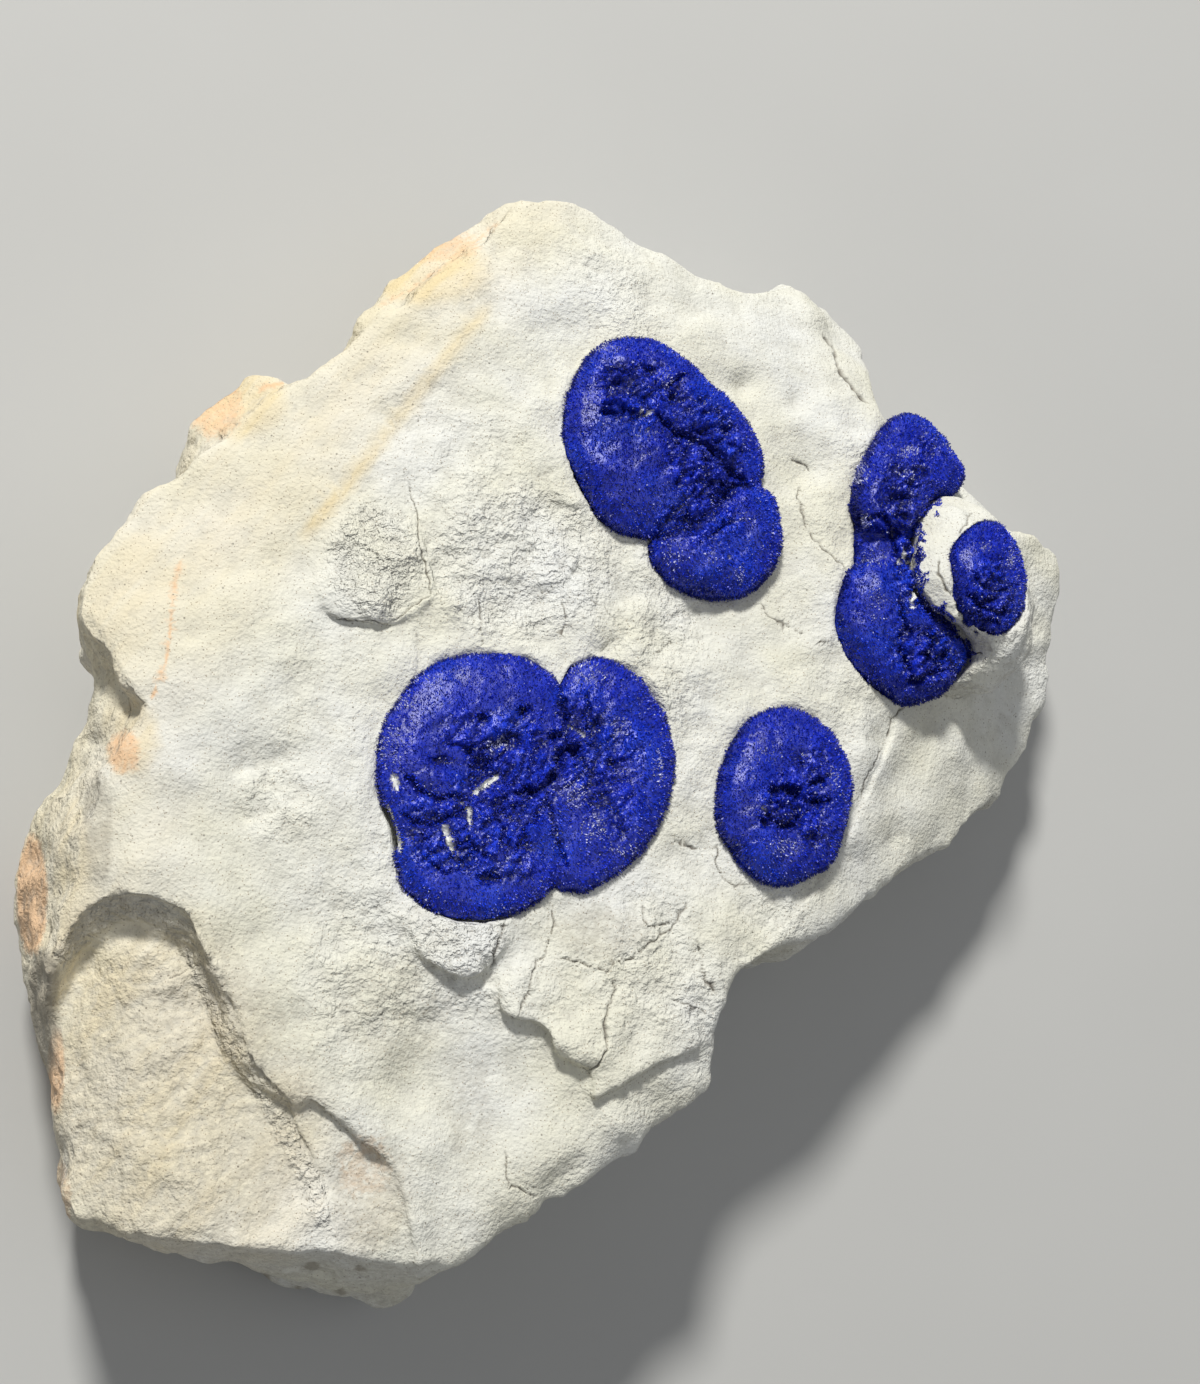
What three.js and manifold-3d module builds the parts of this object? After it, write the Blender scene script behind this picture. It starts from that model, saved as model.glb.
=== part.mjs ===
// A hand-sized lump of pale claystone with azurite suns: flat rosettes of deep blue crystals that grew in it.
// Millimetres. The stone lies on its flat back. X runs across the display face, Y up it and Z out of it.
import * as THREE from "three";
import { ImprovedNoise } from "three/addons/math/ImprovedNoise.js";
import { mergeVertices } from "three/addons/utils/BufferGeometryUtils.js";
import Module from "manifold-3d";

const wasm = await Module();
wasm.setup();

// Driving dimensions of the stone.
const FACE_HEIGHT = 50; // the middle of the display face above the flat back
const FACE_SLOPE = { x: -0.08, y: -0.04 }; // the stone is thicker on the left and at the foot
const FACE_CELL = 7.2; // spacing of the facets on the display face
const FACE_STRAY = 2.5; // how far the facets' corners stray from an even grid
const FACE_BLEND = 1.6; // how softly the face rolls into its falls
const FACE_BLOCK = 250; // side of the block that carries the display face, wider than the stone
const FACE_WAVES = [{ across: 21, height: 1.1 }, { across: 8, height: 0.55 }]; // unevenness of the face
const FLANK_WAVES = [{ across: 9, height: 1 }, { across: 27, height: 1.2 }]; // unevenness of the flank
const HIDDEN_BULGE = 3; // how far the flank stands out below the rim where nothing shows it
const FOOT_INSET = 9; // the flat back is smaller than the widest outline by this much all round
const SOCKET_GAP = 0.3; // between a sun and the stone round it
const SUN_SIDES = 28; // facets round one lobe of a sun
const SUN_WAVES = [{ across: 2.6, height: 0.9 }, { across: 6, height: 0.7 }]; // unevenness of a sun
const SUN_RINGS = [0.9, 0.74, 0.52, 0.27]; // where a lobe's dome has its rings, as shares of its outline
const SUN_SHOULDER = 0.975; // the share of the outline where a lobe's steep side turns over into its dome
const DOME = { flatness: 3.2, steepness: 0.42 }; // how flat a dome's top and how steep its side is
const HOLLOW_SHARE = 0.42; // how wide a lobe's hollowed middle is
const OUTLINE_LEVEL = 0.08; // how far up a lobe's thickness its outline is seen
const ROOT_SHARE = 0.9; // the buried foot of a lobe is this share of its outline
const OVERSHOOT = 30; // how far a solid reaches past a face that trims it
const STONE_MIDDLE = { x: -14, y: -10 }; // every outline of the stone runs round this place

// The outlines below were read off one picture of the stone, in its pixels, seen from this eye point.
const PICTURE_MIDDLE = { x: 600, y: 692 };
const FOCAL_PIXELS = 2200;
const EYE_DISTANCE = 385;
const EYE_LEFT = 17; // degrees left of straight out from the flat back
const EYE_BELOW = 13; // degrees below it

// The stone's edge, clockwise from its top, in picture pixels: the rim of the face and, where the flank stands
// out beyond the rim, the flank's outline, its height above the back and how far out its shoulder is (0 to 1).
const EDGE = [
  { rim: [545, 197], flank: [545, 193], height: 46, shoulder: 0.2 },
  { rim: [590, 212] },
  { rim: [640, 241] },
  { rim: [690, 268] },
  { rim: [730, 288] },
  { rim: [755, 294] },
  { rim: [785, 285] },
  { rim: [815, 306] },
  { rim: [846, 329] },
  { rim: [867, 352] },
  { rim: [875, 385] },
  { rim: [884, 418] },
  { rim: [925, 437] },
  { rim: [952, 468] },
  { rim: [975, 497] },
  { rim: [1008, 532] },
  { rim: [1035, 535] },
  { rim: [1058, 552] },
  { rim: [1063, 578] },
  { rim: [1054, 625] },
  { rim: [1046, 685] },
  { rim: [1030, 740] },
  { rim: [1014, 772] },
  { rim: [1000, 798] },
  { rim: [962, 834] },
  { rim: [925, 858] },
  { rim: [885, 882] },
  { rim: [850, 911] },
  { rim: [815, 941] },
  { rim: [785, 945] },
  { rim: [745, 968] },
  { rim: [724, 997] },
  { rim: [719, 1030] },
  { rim: [706, 1084] },
  { rim: [670, 1115] },
  { rim: [635, 1152] },
  { rim: [595, 1178] },
  { rim: [555, 1200] },
  { rim: [520, 1222] },
  { rim: [488, 1246] },
  { rim: [455, 1264] },
  { rim: [420, 1266], flank: [408, 1302], height: 20, shoulder: 0.6 },
  { rim: [385, 1262], flank: [385, 1310], height: 16, shoulder: 0.6 },
  { rim: [330, 1252], flank: [340, 1300], height: 16, shoulder: 0.6 },
  { rim: [260, 1250], flank: [270, 1275], height: 18, shoulder: 0.6 },
  { rim: [200, 1246], flank: [200, 1256], height: 26, shoulder: 0.6 },
  { rim: [140, 1237], flank: [140, 1242], height: 30, shoulder: 0.6 },
  { rim: [80, 1216], flank: [73, 1218], height: 30, shoulder: 0.6 },
  { rim: [67, 1190], flank: [60, 1190], height: 28, shoulder: 0.7 },
  { rim: [70, 1140], flank: [61, 1148], height: 26, shoulder: 0.7 },
  { rim: [66, 1090], flank: [48, 1086], height: 24, shoulder: 0.7 },
  { rim: [58, 1030], flank: [36, 1030], height: 22, shoulder: 0.6 },
  { rim: [50, 978], flank: [25, 978], height: 22, shoulder: 0.5 },
  { rim: [62, 925], flank: [13, 917], height: 24, shoulder: 0.5 },
  { rim: [80, 870], flank: [14, 876], height: 26, shoulder: 0.5 },
  { rim: [88, 820], flank: [31, 824], height: 28, shoulder: 0.5 },
  { rim: [104, 775], flank: [66, 772], height: 30, shoulder: 0.5 },
  { rim: [130, 740], flank: [82, 726], height: 32, shoulder: 0.3 },
  { rim: [146, 706], flank: [91, 682], height: 34, shoulder: 0.1 },
  { rim: [115, 667], flank: [88, 645], height: 36, shoulder: 0.1 },
  { rim: [82, 612] },
  { rim: [95, 560] },
  { rim: [115, 530] },
  { rim: [145, 495] },
  { rim: [186, 465] },
  { rim: [224, 438], flank: [190, 428], height: 36, shoulder: 0.2 },
  { rim: [253, 411], flank: [216, 391], height: 36, shoulder: 0.2 },
  { rim: [289, 384], flank: [256, 377], height: 38, shoulder: 0.2 },
  { rim: [318, 364] },
  { rim: [344, 349] },
  { rim: [376, 322], flank: [363, 318], height: 38, shoulder: 0.2 },
  { rim: [415, 296], flank: [392, 277], height: 36, shoulder: 0.2 },
  { rim: [450, 268], flank: [432, 248], height: 36, shoulder: 0.2 },
  { rim: [488, 239], flank: [472, 221], height: 38, shoulder: 0.2 },
  { rim: [520, 207], flank: [514, 201], height: 42, shoulder: 0.2 },
];

// Beyond each line the face falls away: a pixel on the line, which way is downhill, and how steeply.
const FALLS = [
  { from: [300, 545], downhill: [-0.78, 0.62], slope: 0.26 },
  { from: [180, 620], downhill: [-0.9, 0.43], slope: 0.5 },
  { from: [860, 395], downhill: [0.75, 0.66], slope: 0.3 },
  { from: [700, 280], downhill: [0.5, 0.86], slope: 0.6 },
  { from: [852, 820], downhill: [0.86, -0.51], slope: 0.5 },
  { from: [640, 1090], downhill: [0.6, -0.8], slope: 0.5 },
  { from: [500, 1180], downhill: [0.5, -0.86], slope: 0.45 },
  { from: [1015, 560], downhill: [1, 0.1], slope: 0.5 },
  { from: [125, 820], downhill: [-1, 0], slope: 0.8 },
];

// Where the hidden flanks broke flat and undercut: a pixel on the rim, how far below the rim the break starts,
// the way it faces (degrees round from the right, towards the top), how far it leans under and how wide it is.
const BREAKS = [
  { rim: [625, 233], below: 10, facing: 62, under: 22, width: 44 },
  { rim: [1054, 640], below: 8, facing: -6, under: 20, width: 44 },
  { rim: [915, 864], below: 9, facing: -56, under: 25, width: 52 },
  { rim: [615, 1165], below: 11, facing: -53, under: 18, width: 42 },
];

// Swellings and hollows of the face: a pixel, a radius across it in millimetres, and a height.
const SWELLINGS = [
  { at: [560, 700], radius: 26, height: 1.6 },
  { at: [640, 420], radius: 16, height: 1.8 },
  { at: [790, 300], radius: 8, height: 2.4 },
  { at: [848, 345], radius: 6, height: -1.6 },
  { at: [745, 385], radius: 4.5, height: -1.3 },
  { at: [805, 468], radius: 5, height: -1.8 },
  { at: [700, 610], radius: 9, height: -1.8 },
  { at: [265, 790], radius: 7, height: -1.5 },
  { at: [690, 860], radius: 8, height: -1.4 },
  { at: [470, 1090], radius: 15, height: -3 },
  { at: [915, 735], radius: 7, height: -3 },
  { at: [1000, 690], radius: 8, height: -2.5 },
  { at: [840, 600], radius: 7, height: 1.6 },
  { at: [650, 960], radius: 10, height: 1.4 },
  { at: [640, 1110], radius: 9, height: 1.2 },
  { at: [200, 640], radius: 14, height: 1.4 },
];

// Spalls broken out of the face: their edge in pixels, their depth at two pixels and how wide their wall is.
const SPALLS = [
  {
    middle: [190, 1110],
    edge: [
      [48, 975], [70, 925], [118, 892], [160, 899], [192, 916], [206, 952], [228, 992], [248, 1045],
      [276, 1080], [302, 1110], [321, 1160], [338, 1250], [330, 1340], [150, 1330], [20, 1250], [10, 1100],
    ],
    deep: { at: [140, 930], depth: 8.5 },
    shallow: { at: [330, 1220], depth: 2.2 },
    wall: 6.5,
  },
  {
    middle: [350, 1200],
    edge: [
      [298, 1098], [345, 1120], [384, 1155], [404, 1200], [413, 1250], [418, 1330], [330, 1340], [300, 1200],
    ],
    deep: { at: [300, 1130], depth: 2.4 },
    shallow: { at: [410, 1240], depth: 1.2 },
    wall: 1,
  },
];

// Raised plates and ledges: their outline in pixels, and how far they stand proud at two pixels.
const PLATES = [
  {
    middle: [378, 560],
    edge: [
      [345, 502], [408, 488], [420, 540], [433, 590], [412, 617], [396, 623], [362, 619], [330, 618],
      [316, 580],
    ],
    high: { at: [380, 620], proud: 1.5 },
    low: { at: [375, 495], proud: -0.2 },
  },
  {
    middle: [566, 1012],
    edge: [
      [487, 1003], [516, 1016], [536, 1025], [550, 1040], [556, 1054], [574, 1062], [588, 1071], [604, 1058],
      [640, 1010], [620, 960], [575, 945], [530, 962],
    ],
    high: { at: [550, 1055], proud: 3.6 },
    low: { at: [590, 950], proud: -0.4 },
  },
  {
    middle: [455, 935],
    edge: [
      [398, 905], [405, 930], [417, 954], [432, 966], [458, 977], [487, 972], [505, 945], [515, 905],
      [455, 880],
    ],
    high: { at: [455, 975], proud: 3.2 },
    low: { at: [455, 890], proud: 0 },
  },
  {
    middle: [645, 1045],
    edge: [
      [590, 1100], [622, 1080], [652, 1063], [694, 1050], [700, 1020], [650, 1000], [600, 1040],
    ],
    high: { at: [650, 1068], proud: 2.4 },
    low: { at: [640, 1005], proud: -0.4 },
  },
];

// The rounded boss at the right that two of the suns wrap round.
const BOSS = {
  at: [956, 598],
  lift: 0.5,
  radii: [15, 19, 13.8],
  lean: [0.35, 0.05],
  facets: [18, 12],
  waves: [{ across: 0.45, height: 0.07 }], // of a ball of radius 1
};

// Each sun is one or more lobes grown together: an outline in pixels, thickness above the face and root below
// it, how much of its middle is hollowed, and how its seat leans to the right and up beyond the face's own lean.
const SUNS = {
  azurite_sun_upper: {
    lobes: [
      {
        middle: [655, 440],
        edge: [
          [574, 383], [590, 355], [613, 342], [641, 341], [674, 355], [705, 385], [735, 412], [754, 441],
          [761, 473], [748, 504], [712, 523], [674, 535], [639, 536], [604, 523], [584, 492], [569, 462],
          [564, 425],
        ],
        thickness: 6.2,
        root: 3,
        hollow: 0.16,
        lean: [0, 0],
      },
      {
        middle: [714, 546],
        edge: [
          [649, 548], [662, 574], [680, 588], [708, 597], [739, 595], [764, 578], [777, 551], [776, 519],
          [763, 490], [725, 490], [675, 520],
        ],
        thickness: 5.4,
        root: 3,
        hollow: 0.1,
        lean: [0, -0.06],
      },
    ],
  },
  azurite_sun_left: {
    lobes: [
      {
        middle: [474, 785],
        edge: [
          [378, 761], [384, 730], [411, 685], [443, 662], [485, 656], [524, 660], [554, 681], [567, 715],
          [566, 756], [562, 785], [570, 822], [570, 852], [551, 888], [521, 911], [487, 921], [450, 918],
          [411, 896], [395, 868], [396, 838], [382, 805],
        ],
        thickness: 5.6,
        root: 3,
        hollow: 0.34,
        lean: [0, 0],
      },
      {
        middle: [600, 775],
        edge: [
          [560, 688], [572, 665], [597, 659], [627, 670], [652, 699], [668, 735], [671, 777], [659, 816],
          [641, 850], [611, 875], [581, 892], [552, 885], [535, 830], [532, 760],
        ],
        thickness: 4.4,
        root: 3,
        hollow: 0.3,
        lean: [0.03, 0],
      },
    ],
  },
  azurite_sun_lower: {
    lobes: [
      {
        middle: [783, 798],
        edge: [
          [718, 800], [726, 760], [748, 723], [784, 709], [823, 728], [842, 756], [848, 787], [842, 820],
          [832, 856], [812, 874], [784, 884], [756, 877], [732, 848], [720, 827],
        ],
        thickness: 5.2,
        root: 3,
        hollow: 0.3,
        lean: [0, 0],
      },
    ],
  },
  azurite_sun_crescent: {
    lobes: [
      {
        middle: [902, 468],
        edge: [
          [884, 429], [900, 421], [919, 428], [937, 446], [949, 466], [960, 488], [943, 492], [928, 500],
          [918, 518], [900, 528], [872, 527], [858, 508], [857, 480], [867, 455],
        ],
        thickness: 6,
        root: 4,
        hollow: 0.26,
        lean: [-0.05, 0.25],
      },
      {
        middle: [884, 556],
        edge: [
          [856, 520], [882, 508], [908, 520], [911, 545], [908, 575], [914, 606], [890, 610], [864, 600],
          [854, 572], [855, 545],
        ],
        thickness: 4.2,
        root: 4,
        hollow: 0.1,
        lean: [-0.25, 0],
      },
      {
        middle: [892, 640],
        edge: [
          [854, 568], [842, 597], [837, 626], [846, 655], [864, 680], [895, 700], [918, 702], [944, 688],
          [964, 658], [955, 638], [934, 622], [914, 606], [903, 575], [876, 562],
        ],
        thickness: 5.6,
        root: 4,
        hollow: 0.12,
        lean: [-0.08, -0.18],
      },
    ],
  },
  azurite_sun_boss: {
    lobes: [
      {
        middle: [989, 578],
        edge: [
          [960, 539], [974, 526], [992, 527], [1005, 542], [1013, 566], [1018, 593], [1013, 617], [999, 634],
          [983, 626], [968, 607], [959, 577], [955, 554],
        ],
        thickness: 4.4,
        root: 3,
        hollow: 0.1,
        seat: { lift: 10, normal: [0.5, 0.15, 1] },
      },
    ],
  },
};

const radians = THREE.MathUtils.degToRad;
const noise = new ImprovedNoise();

// The sum of some waves of natural unevenness at a place.
function uneven(waves, x, y, z) {
  const wave = ({ across, height }) => height * noise.noise(x / across, y / across, z / across);
  return waves.reduce((sum, each) => sum + wave(each), 0);
}

// The eye, and the sight line through a pixel of the picture.
const toEye = new THREE.Vector3(-Math.tan(radians(EYE_LEFT)), -Math.tan(radians(EYE_BELOW)), 1).normalize();
const eyeRight = new THREE.Vector3(1, 0, 0).addScaledVector(toEye, -toEye.x).normalize();
const eyeUp = new THREE.Vector3().crossVectors(toEye, eyeRight);
const eye = new THREE.Vector3(0, 0, FACE_HEIGHT).addScaledVector(toEye, EYE_DISTANCE);

function sightLine([px, py]) {
  return new THREE.Vector3()
    .addScaledVector(eyeRight, (px - PICTURE_MIDDLE.x) / FOCAL_PIXELS)
    .addScaledVector(eyeUp, (PICTURE_MIDDLE.y - py) / FOCAL_PIXELS)
    .sub(toEye);
}

function atHeight(pixel, height) {
  const ray = sightLine(pixel);
  return eye.clone().addScaledVector(ray, (height - eye.z) / ray.z);
}

// Height of the smooth face, without swellings: a plane that rolls over into its falls.
const flatFace = (x, y) => FACE_HEIGHT + FACE_SLOPE.x * x + FACE_SLOPE.y * y;
const falls = FALLS.map(({ from, downhill, slope }) => {
  const start = atHeight(from, FACE_HEIGHT);
  const way = new THREE.Vector2(...downhill).normalize();
  return (x, y) => flatFace(x, y) - slope * ((x - start.x) * way.x + (y - start.y) * way.y);
});

function smoothFace(x, y) {
  const heights = [flatFace(x, y), ...falls.map((fall) => fall(x, y))];
  const lowest = Math.min(...heights);
  const spread = heights.reduce((sum, h) => sum + Math.exp((lowest - h) / FACE_BLEND), 0);
  return lowest - FACE_BLEND * Math.log(spread);
}

const swellings = SWELLINGS.map(({ at, radius, height }) => {
  const top = onSurface(at, smoothFace);
  return (x, y) => height * Math.exp(-((x - top.x) ** 2 + (y - top.y) ** 2) / radius ** 2);
});

// Height of the real face: broad swellings and natural unevenness.
function faceHeight(x, y) {
  const swell = swellings.reduce((sum, swelling) => sum + swelling(x, y), 0);
  return smoothFace(x, y) + swell + uneven(FACE_WAVES, x, y, FACE_HEIGHT);
}

// Where the sight line through a pixel meets a surface given by its height.
function onSurface(pixel, heightAt) {
  let point = atHeight(pixel, FACE_HEIGHT);
  for (let step = 0; step < 12; step++) point = atHeight(pixel, heightAt(point.x, point.y));
  return point;
}

// A solid from rings of equally many points, bottom to top, closed by a point at each end.
function shell(bottom, rings, top) {
  const sides = rings[0].length;
  const points = [bottom, ...rings.flat(), top];
  const index = [];
  const vertex = (ring, side) => 1 + ring * sides + (side % sides);
  for (let side = 0; side < sides; side++) {
    index.push(0, vertex(0, side + 1), vertex(0, side));
    for (let ring = 0; ring + 1 < rings.length; ring++) {
      const [a, b] = [vertex(ring, side), vertex(ring, side + 1)];
      const [c, d] = [vertex(ring + 1, side + 1), vertex(ring + 1, side)];
      index.push(a, b, c, a, c, d);
    }
    index.push(vertex(rings.length - 1, side), vertex(rings.length - 1, side + 1), points.length - 1);
  }
  return new wasm.Manifold(
    new wasm.Mesh({
      numProp: 3,
      vertProperties: new Float32Array(points.flatMap((p) => p.toArray())),
      triVerts: new Uint32Array(index),
    }),
  );
}

// A closed loop of points seen from its middle: where its edge lies in each of several equal directions.
function evenLoop(points, middle, sides) {
  const curve = new THREE.CatmullRomCurve3(points, true, "centripetal");
  const fine = curve.getPoints(points.length * 8);
  return Array.from({ length: sides }, (_, side) => {
    const angle = (2 * Math.PI * side) / sides;
    const way = new THREE.Vector2(Math.cos(angle), Math.sin(angle));
    let best = null;
    let reach = -Infinity;
    for (let i = 0; i + 1 < fine.length; i++) {
      const a = new THREE.Vector2(fine[i].x - middle.x, fine[i].y - middle.y);
      const b = new THREE.Vector2(fine[i + 1].x - middle.x, fine[i + 1].y - middle.y);
      const [sideA, sideB] = [way.cross(a), way.cross(b)];
      if (sideA * sideB > 0 || sideA === sideB) continue;
      const share = sideA / (sideA - sideB);
      const out = a.clone().lerp(b, share).dot(way);
      if (out > reach && out > 0) {
        reach = out;
        best = fine[i].clone().lerp(fine[i + 1], share);
      }
    }
    return best;
  });
}

// The flank: from the flat back, out to its widest outline, in to the rim, and on above the face.
function flankSolid() {
  const middle = new THREE.Vector3(STONE_MIDDLE.x, STONE_MIDDLE.y, 0);
  const outOf = (point) => point.clone().sub(middle).setZ(0).normalize();
  const hiddenWay = toEye.clone().setZ(0).normalize().negate();
  const rim = EDGE.map((edge) => onSurface(edge.rim, smoothFace));
  const widest = EDGE.map(({ flank, height }, i) => {
    if (flank) return atHeight(flank, height);
    const out = outOf(rim[i]);
    const bulge = HIDDEN_BULGE * Math.max(out.dot(hiddenWay), 0);
    return rim[i].clone().addScaledVector(out, bulge).setZ(rim[i].z / 2);
  });
  const shoulders = EDGE.map(({ shoulder = 0.6 }, i) => {
    const middleHeight = (rim[i].z + widest[i].z) / 2;
    return rim[i].clone().lerp(widest[i], shoulder).setZ(middleHeight);
  });

  // One ring of points, with its own share of the flank's unevenness.
  const ring = (points, share) =>
    points.map((p) => p.clone().addScaledVector(outOf(p), share * uneven(FLANK_WAVES, p.x, p.y, p.z)));
  const foot = (inset, rise) =>
    widest.map((p) => p.clone().addScaledVector(outOf(p), -inset * FOOT_INSET).setZ(rise * p.z));
  const between = (from, to, share) => from.map((p, i) => p.clone().lerp(to[i], share));
  const rings = [
    ring(foot(1, 0), 0.8),
    ring(foot(0.55, 0.15), 1.4),
    ring(foot(0.16, 0.55), 1.8),
    ring(widest, 0.6),
    ring(between(widest, shoulders, 0.5), 1.6),
    ring(shoulders, 1.4),
    ring(between(shoulders, rim, 0.6), 0.8),
    ring(rim, 0.2),
    rim.map((p) => p.clone().setZ(p.z + OVERSHOOT)),
  ].map((loop) => loop.reverse());
  return shell(middle, rings, middle.clone().setZ(FACE_HEIGHT + 2 * OVERSHOOT));
}

// A geometry's merged mesh, and the solid that it closes.
function mergedMesh(geometry) {
  geometry.deleteAttribute("normal").deleteAttribute("uv");
  return mergeVertices(geometry);
}

function solidOf(mesh) {
  const vertProperties = mesh.attributes.position.array;
  const triVerts = new Uint32Array(mesh.index.array);
  return new wasm.Manifold(new wasm.Mesh({ numProp: 3, vertProperties, triVerts }));
}

// Everything outside a flat break.
function breakSolid({ rim, below, facing, under, width }) {
  const tall = 160;
  const deep = 40;
  const block = mergedMesh(new THREE.BoxGeometry(width, tall, deep));
  const [turn, lean] = [radians(facing), radians(under)];
  const level = Math.cos(lean);
  const way = new THREE.Vector3(Math.cos(turn) * level, Math.sin(turn) * level, -Math.sin(lean));
  const along = new THREE.Vector3(-Math.sin(turn), Math.cos(turn), 0);
  const place = new THREE.Matrix4().makeBasis(along, way.clone().cross(along), way);
  const start = onSurface(rim, smoothFace);
  start.z -= below;
  return solidOf(block.applyMatrix4(place.setPosition(start.addScaledVector(way, deep / 2))));
}

// A block whose top is the uneven display face, raised by some function of the place, in flat facets like the
// ones that claystone breaks into.
function faceBlock(raise = () => 0) {
  const cells = FACE_BLOCK / FACE_CELL;
  const block = mergedMesh(new THREE.BoxGeometry(FACE_BLOCK, FACE_BLOCK, FACE_BLOCK, cells, cells, 1));
  const place = block.attributes.position;
  const strayWaves = [{ across: 3.1, height: FACE_STRAY }];
  for (let i = 0; i < place.count; i++) {
    const [x, y, z] = [place.getX(i), place.getY(i), place.getZ(i)];
    const inside = Math.max(Math.abs(x), Math.abs(y)) < FACE_BLOCK / 2 - 1;
    if (z < 0) {
      place.setZ(i, -OVERSHOOT);
      continue;
    }
    const newX = inside ? x + uneven(strayWaves, x, y, FACE_BLOCK) : x;
    const newY = inside ? y + uneven(strayWaves, y, x, FACE_BLOCK) : y;
    place.setXYZ(i, newX, newY, faceHeight(newX, newY) + raise(newX, newY));
  }
  return solidOf(block);
}

// A value that changes evenly from one place on the face to another.
function ramp(a, valueA, b, valueB) {
  const [start, end] = [onSurface(a, smoothFace), onSurface(b, smoothFace)];
  const run = new THREE.Vector2(end.x - start.x, end.y - start.y);
  return (x, y) => {
    const share = ((x - start.x) * run.x + (y - start.y) * run.y) / run.lengthSq();
    return THREE.MathUtils.lerp(valueA, valueB, THREE.MathUtils.clamp(share, 0, 1));
  };
}

// A well through the face, along an outline: narrower by some width at its foot than where it meets the face,
// with a wall that steepens upwards.
function well({ middle, edge, wall = 0 }, sides, foot) {
  const centre = onSurface(middle, smoothFace);
  const loop = evenLoop(edge.map((pixel) => onSurface(pixel, smoothFace)), centre, sides);
  const atShare = (narrower, height) =>
    loop.map((p) => {
      const out = p.clone().sub(centre).setZ(0).normalize();
      return p.clone().addScaledVector(out, -narrower).setZ(faceHeight(p.x, p.y) + height);
    });
  const steep = atShare(wall * 0.4, -foot * 0.45);
  const rings = [atShare(wall, -foot), steep, atShare(0, 0), atShare(-wall, OVERSHOOT)];
  const [low, high] = [centre.clone(), centre.clone()];
  low.z -= foot + OVERSHOOT / 4;
  high.z += 2 * OVERSHOOT;
  return shell(low, rings, high);
}

// What a spall took out of the face: everything inside its outline that is above its rough floor.
function spallSolid({ deep, shallow, ...outline }) {
  const sides = 36;
  const floorWaves = [{ across: 5, height: 0.7 }];
  const depth = ramp(deep.at, deep.depth, shallow.at, shallow.depth);
  const floor = faceBlock((x, y) => uneven(floorWaves, x, y, FACE_HEIGHT) - depth(x, y));
  return well(outline, sides, deep.depth).subtract(floor);
}

// A plate standing proud of the face inside its outline, with a steep broken edge where it is highest.
function plateSolid({ high, low, ...outline }) {
  const sides = 18;
  const buried = 4;
  const proud = ramp(high.at, high.proud, low.at, low.proud);
  return well(outline, sides, buried).intersect(faceBlock(proud));
}

// The boss: a leaning, slightly uneven egg, sunk into the face.
function bossSolid() {
  const egg = mergedMesh(new THREE.SphereGeometry(1, ...BOSS.facets));
  const upright = new THREE.Vector3(...BOSS.lean, 1).normalize();
  const turn = new THREE.Quaternion().setFromUnitVectors(new THREE.Vector3(0, 0, 1), upright);
  const centre = onSurface(BOSS.at, smoothFace).add(new THREE.Vector3(0, 0, BOSS.lift));
  const place = egg.attributes.position;
  for (let i = 0; i < place.count; i++) {
    const p = new THREE.Vector3().fromBufferAttribute(place, i);
    p.multiplyScalar(1 + uneven(BOSS.waves, p.x, p.y, p.z));
    p.multiply(new THREE.Vector3(...BOSS.radii)).applyQuaternion(turn).add(centre);
    place.setXYZ(i, ...p.toArray());
  }
  return solidOf(egg);
}

// The seat of one lobe: a plane on the face that leans as the face does there, and as the lobe itself does, or
// one with a lean of its own.
function seatOf({ middle, lean, seat }) {
  const heightAt = (x, y) => smoothFace(x, y) + (seat ? seat.lift : 0);
  const point = onSurface(middle, heightAt);
  const reach = 10; // the face's lean is taken over this far either side
  const slopeX = (smoothFace(point.x + reach, point.y) - smoothFace(point.x - reach, point.y)) / (2 * reach);
  const slopeY = (smoothFace(point.x, point.y + reach) - smoothFace(point.x, point.y - reach)) / (2 * reach);
  const normal = new THREE.Vector3(...(seat ? seat.normal : [lean[0] - slopeX, lean[1] - slopeY, 1]));
  const turn = new THREE.Quaternion().setFromUnitVectors(new THREE.Vector3(0, 0, 1), normal.normalize());
  return new THREE.Matrix4().compose(point, turn, new THREE.Vector3(1, 1, 1));
}

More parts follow.
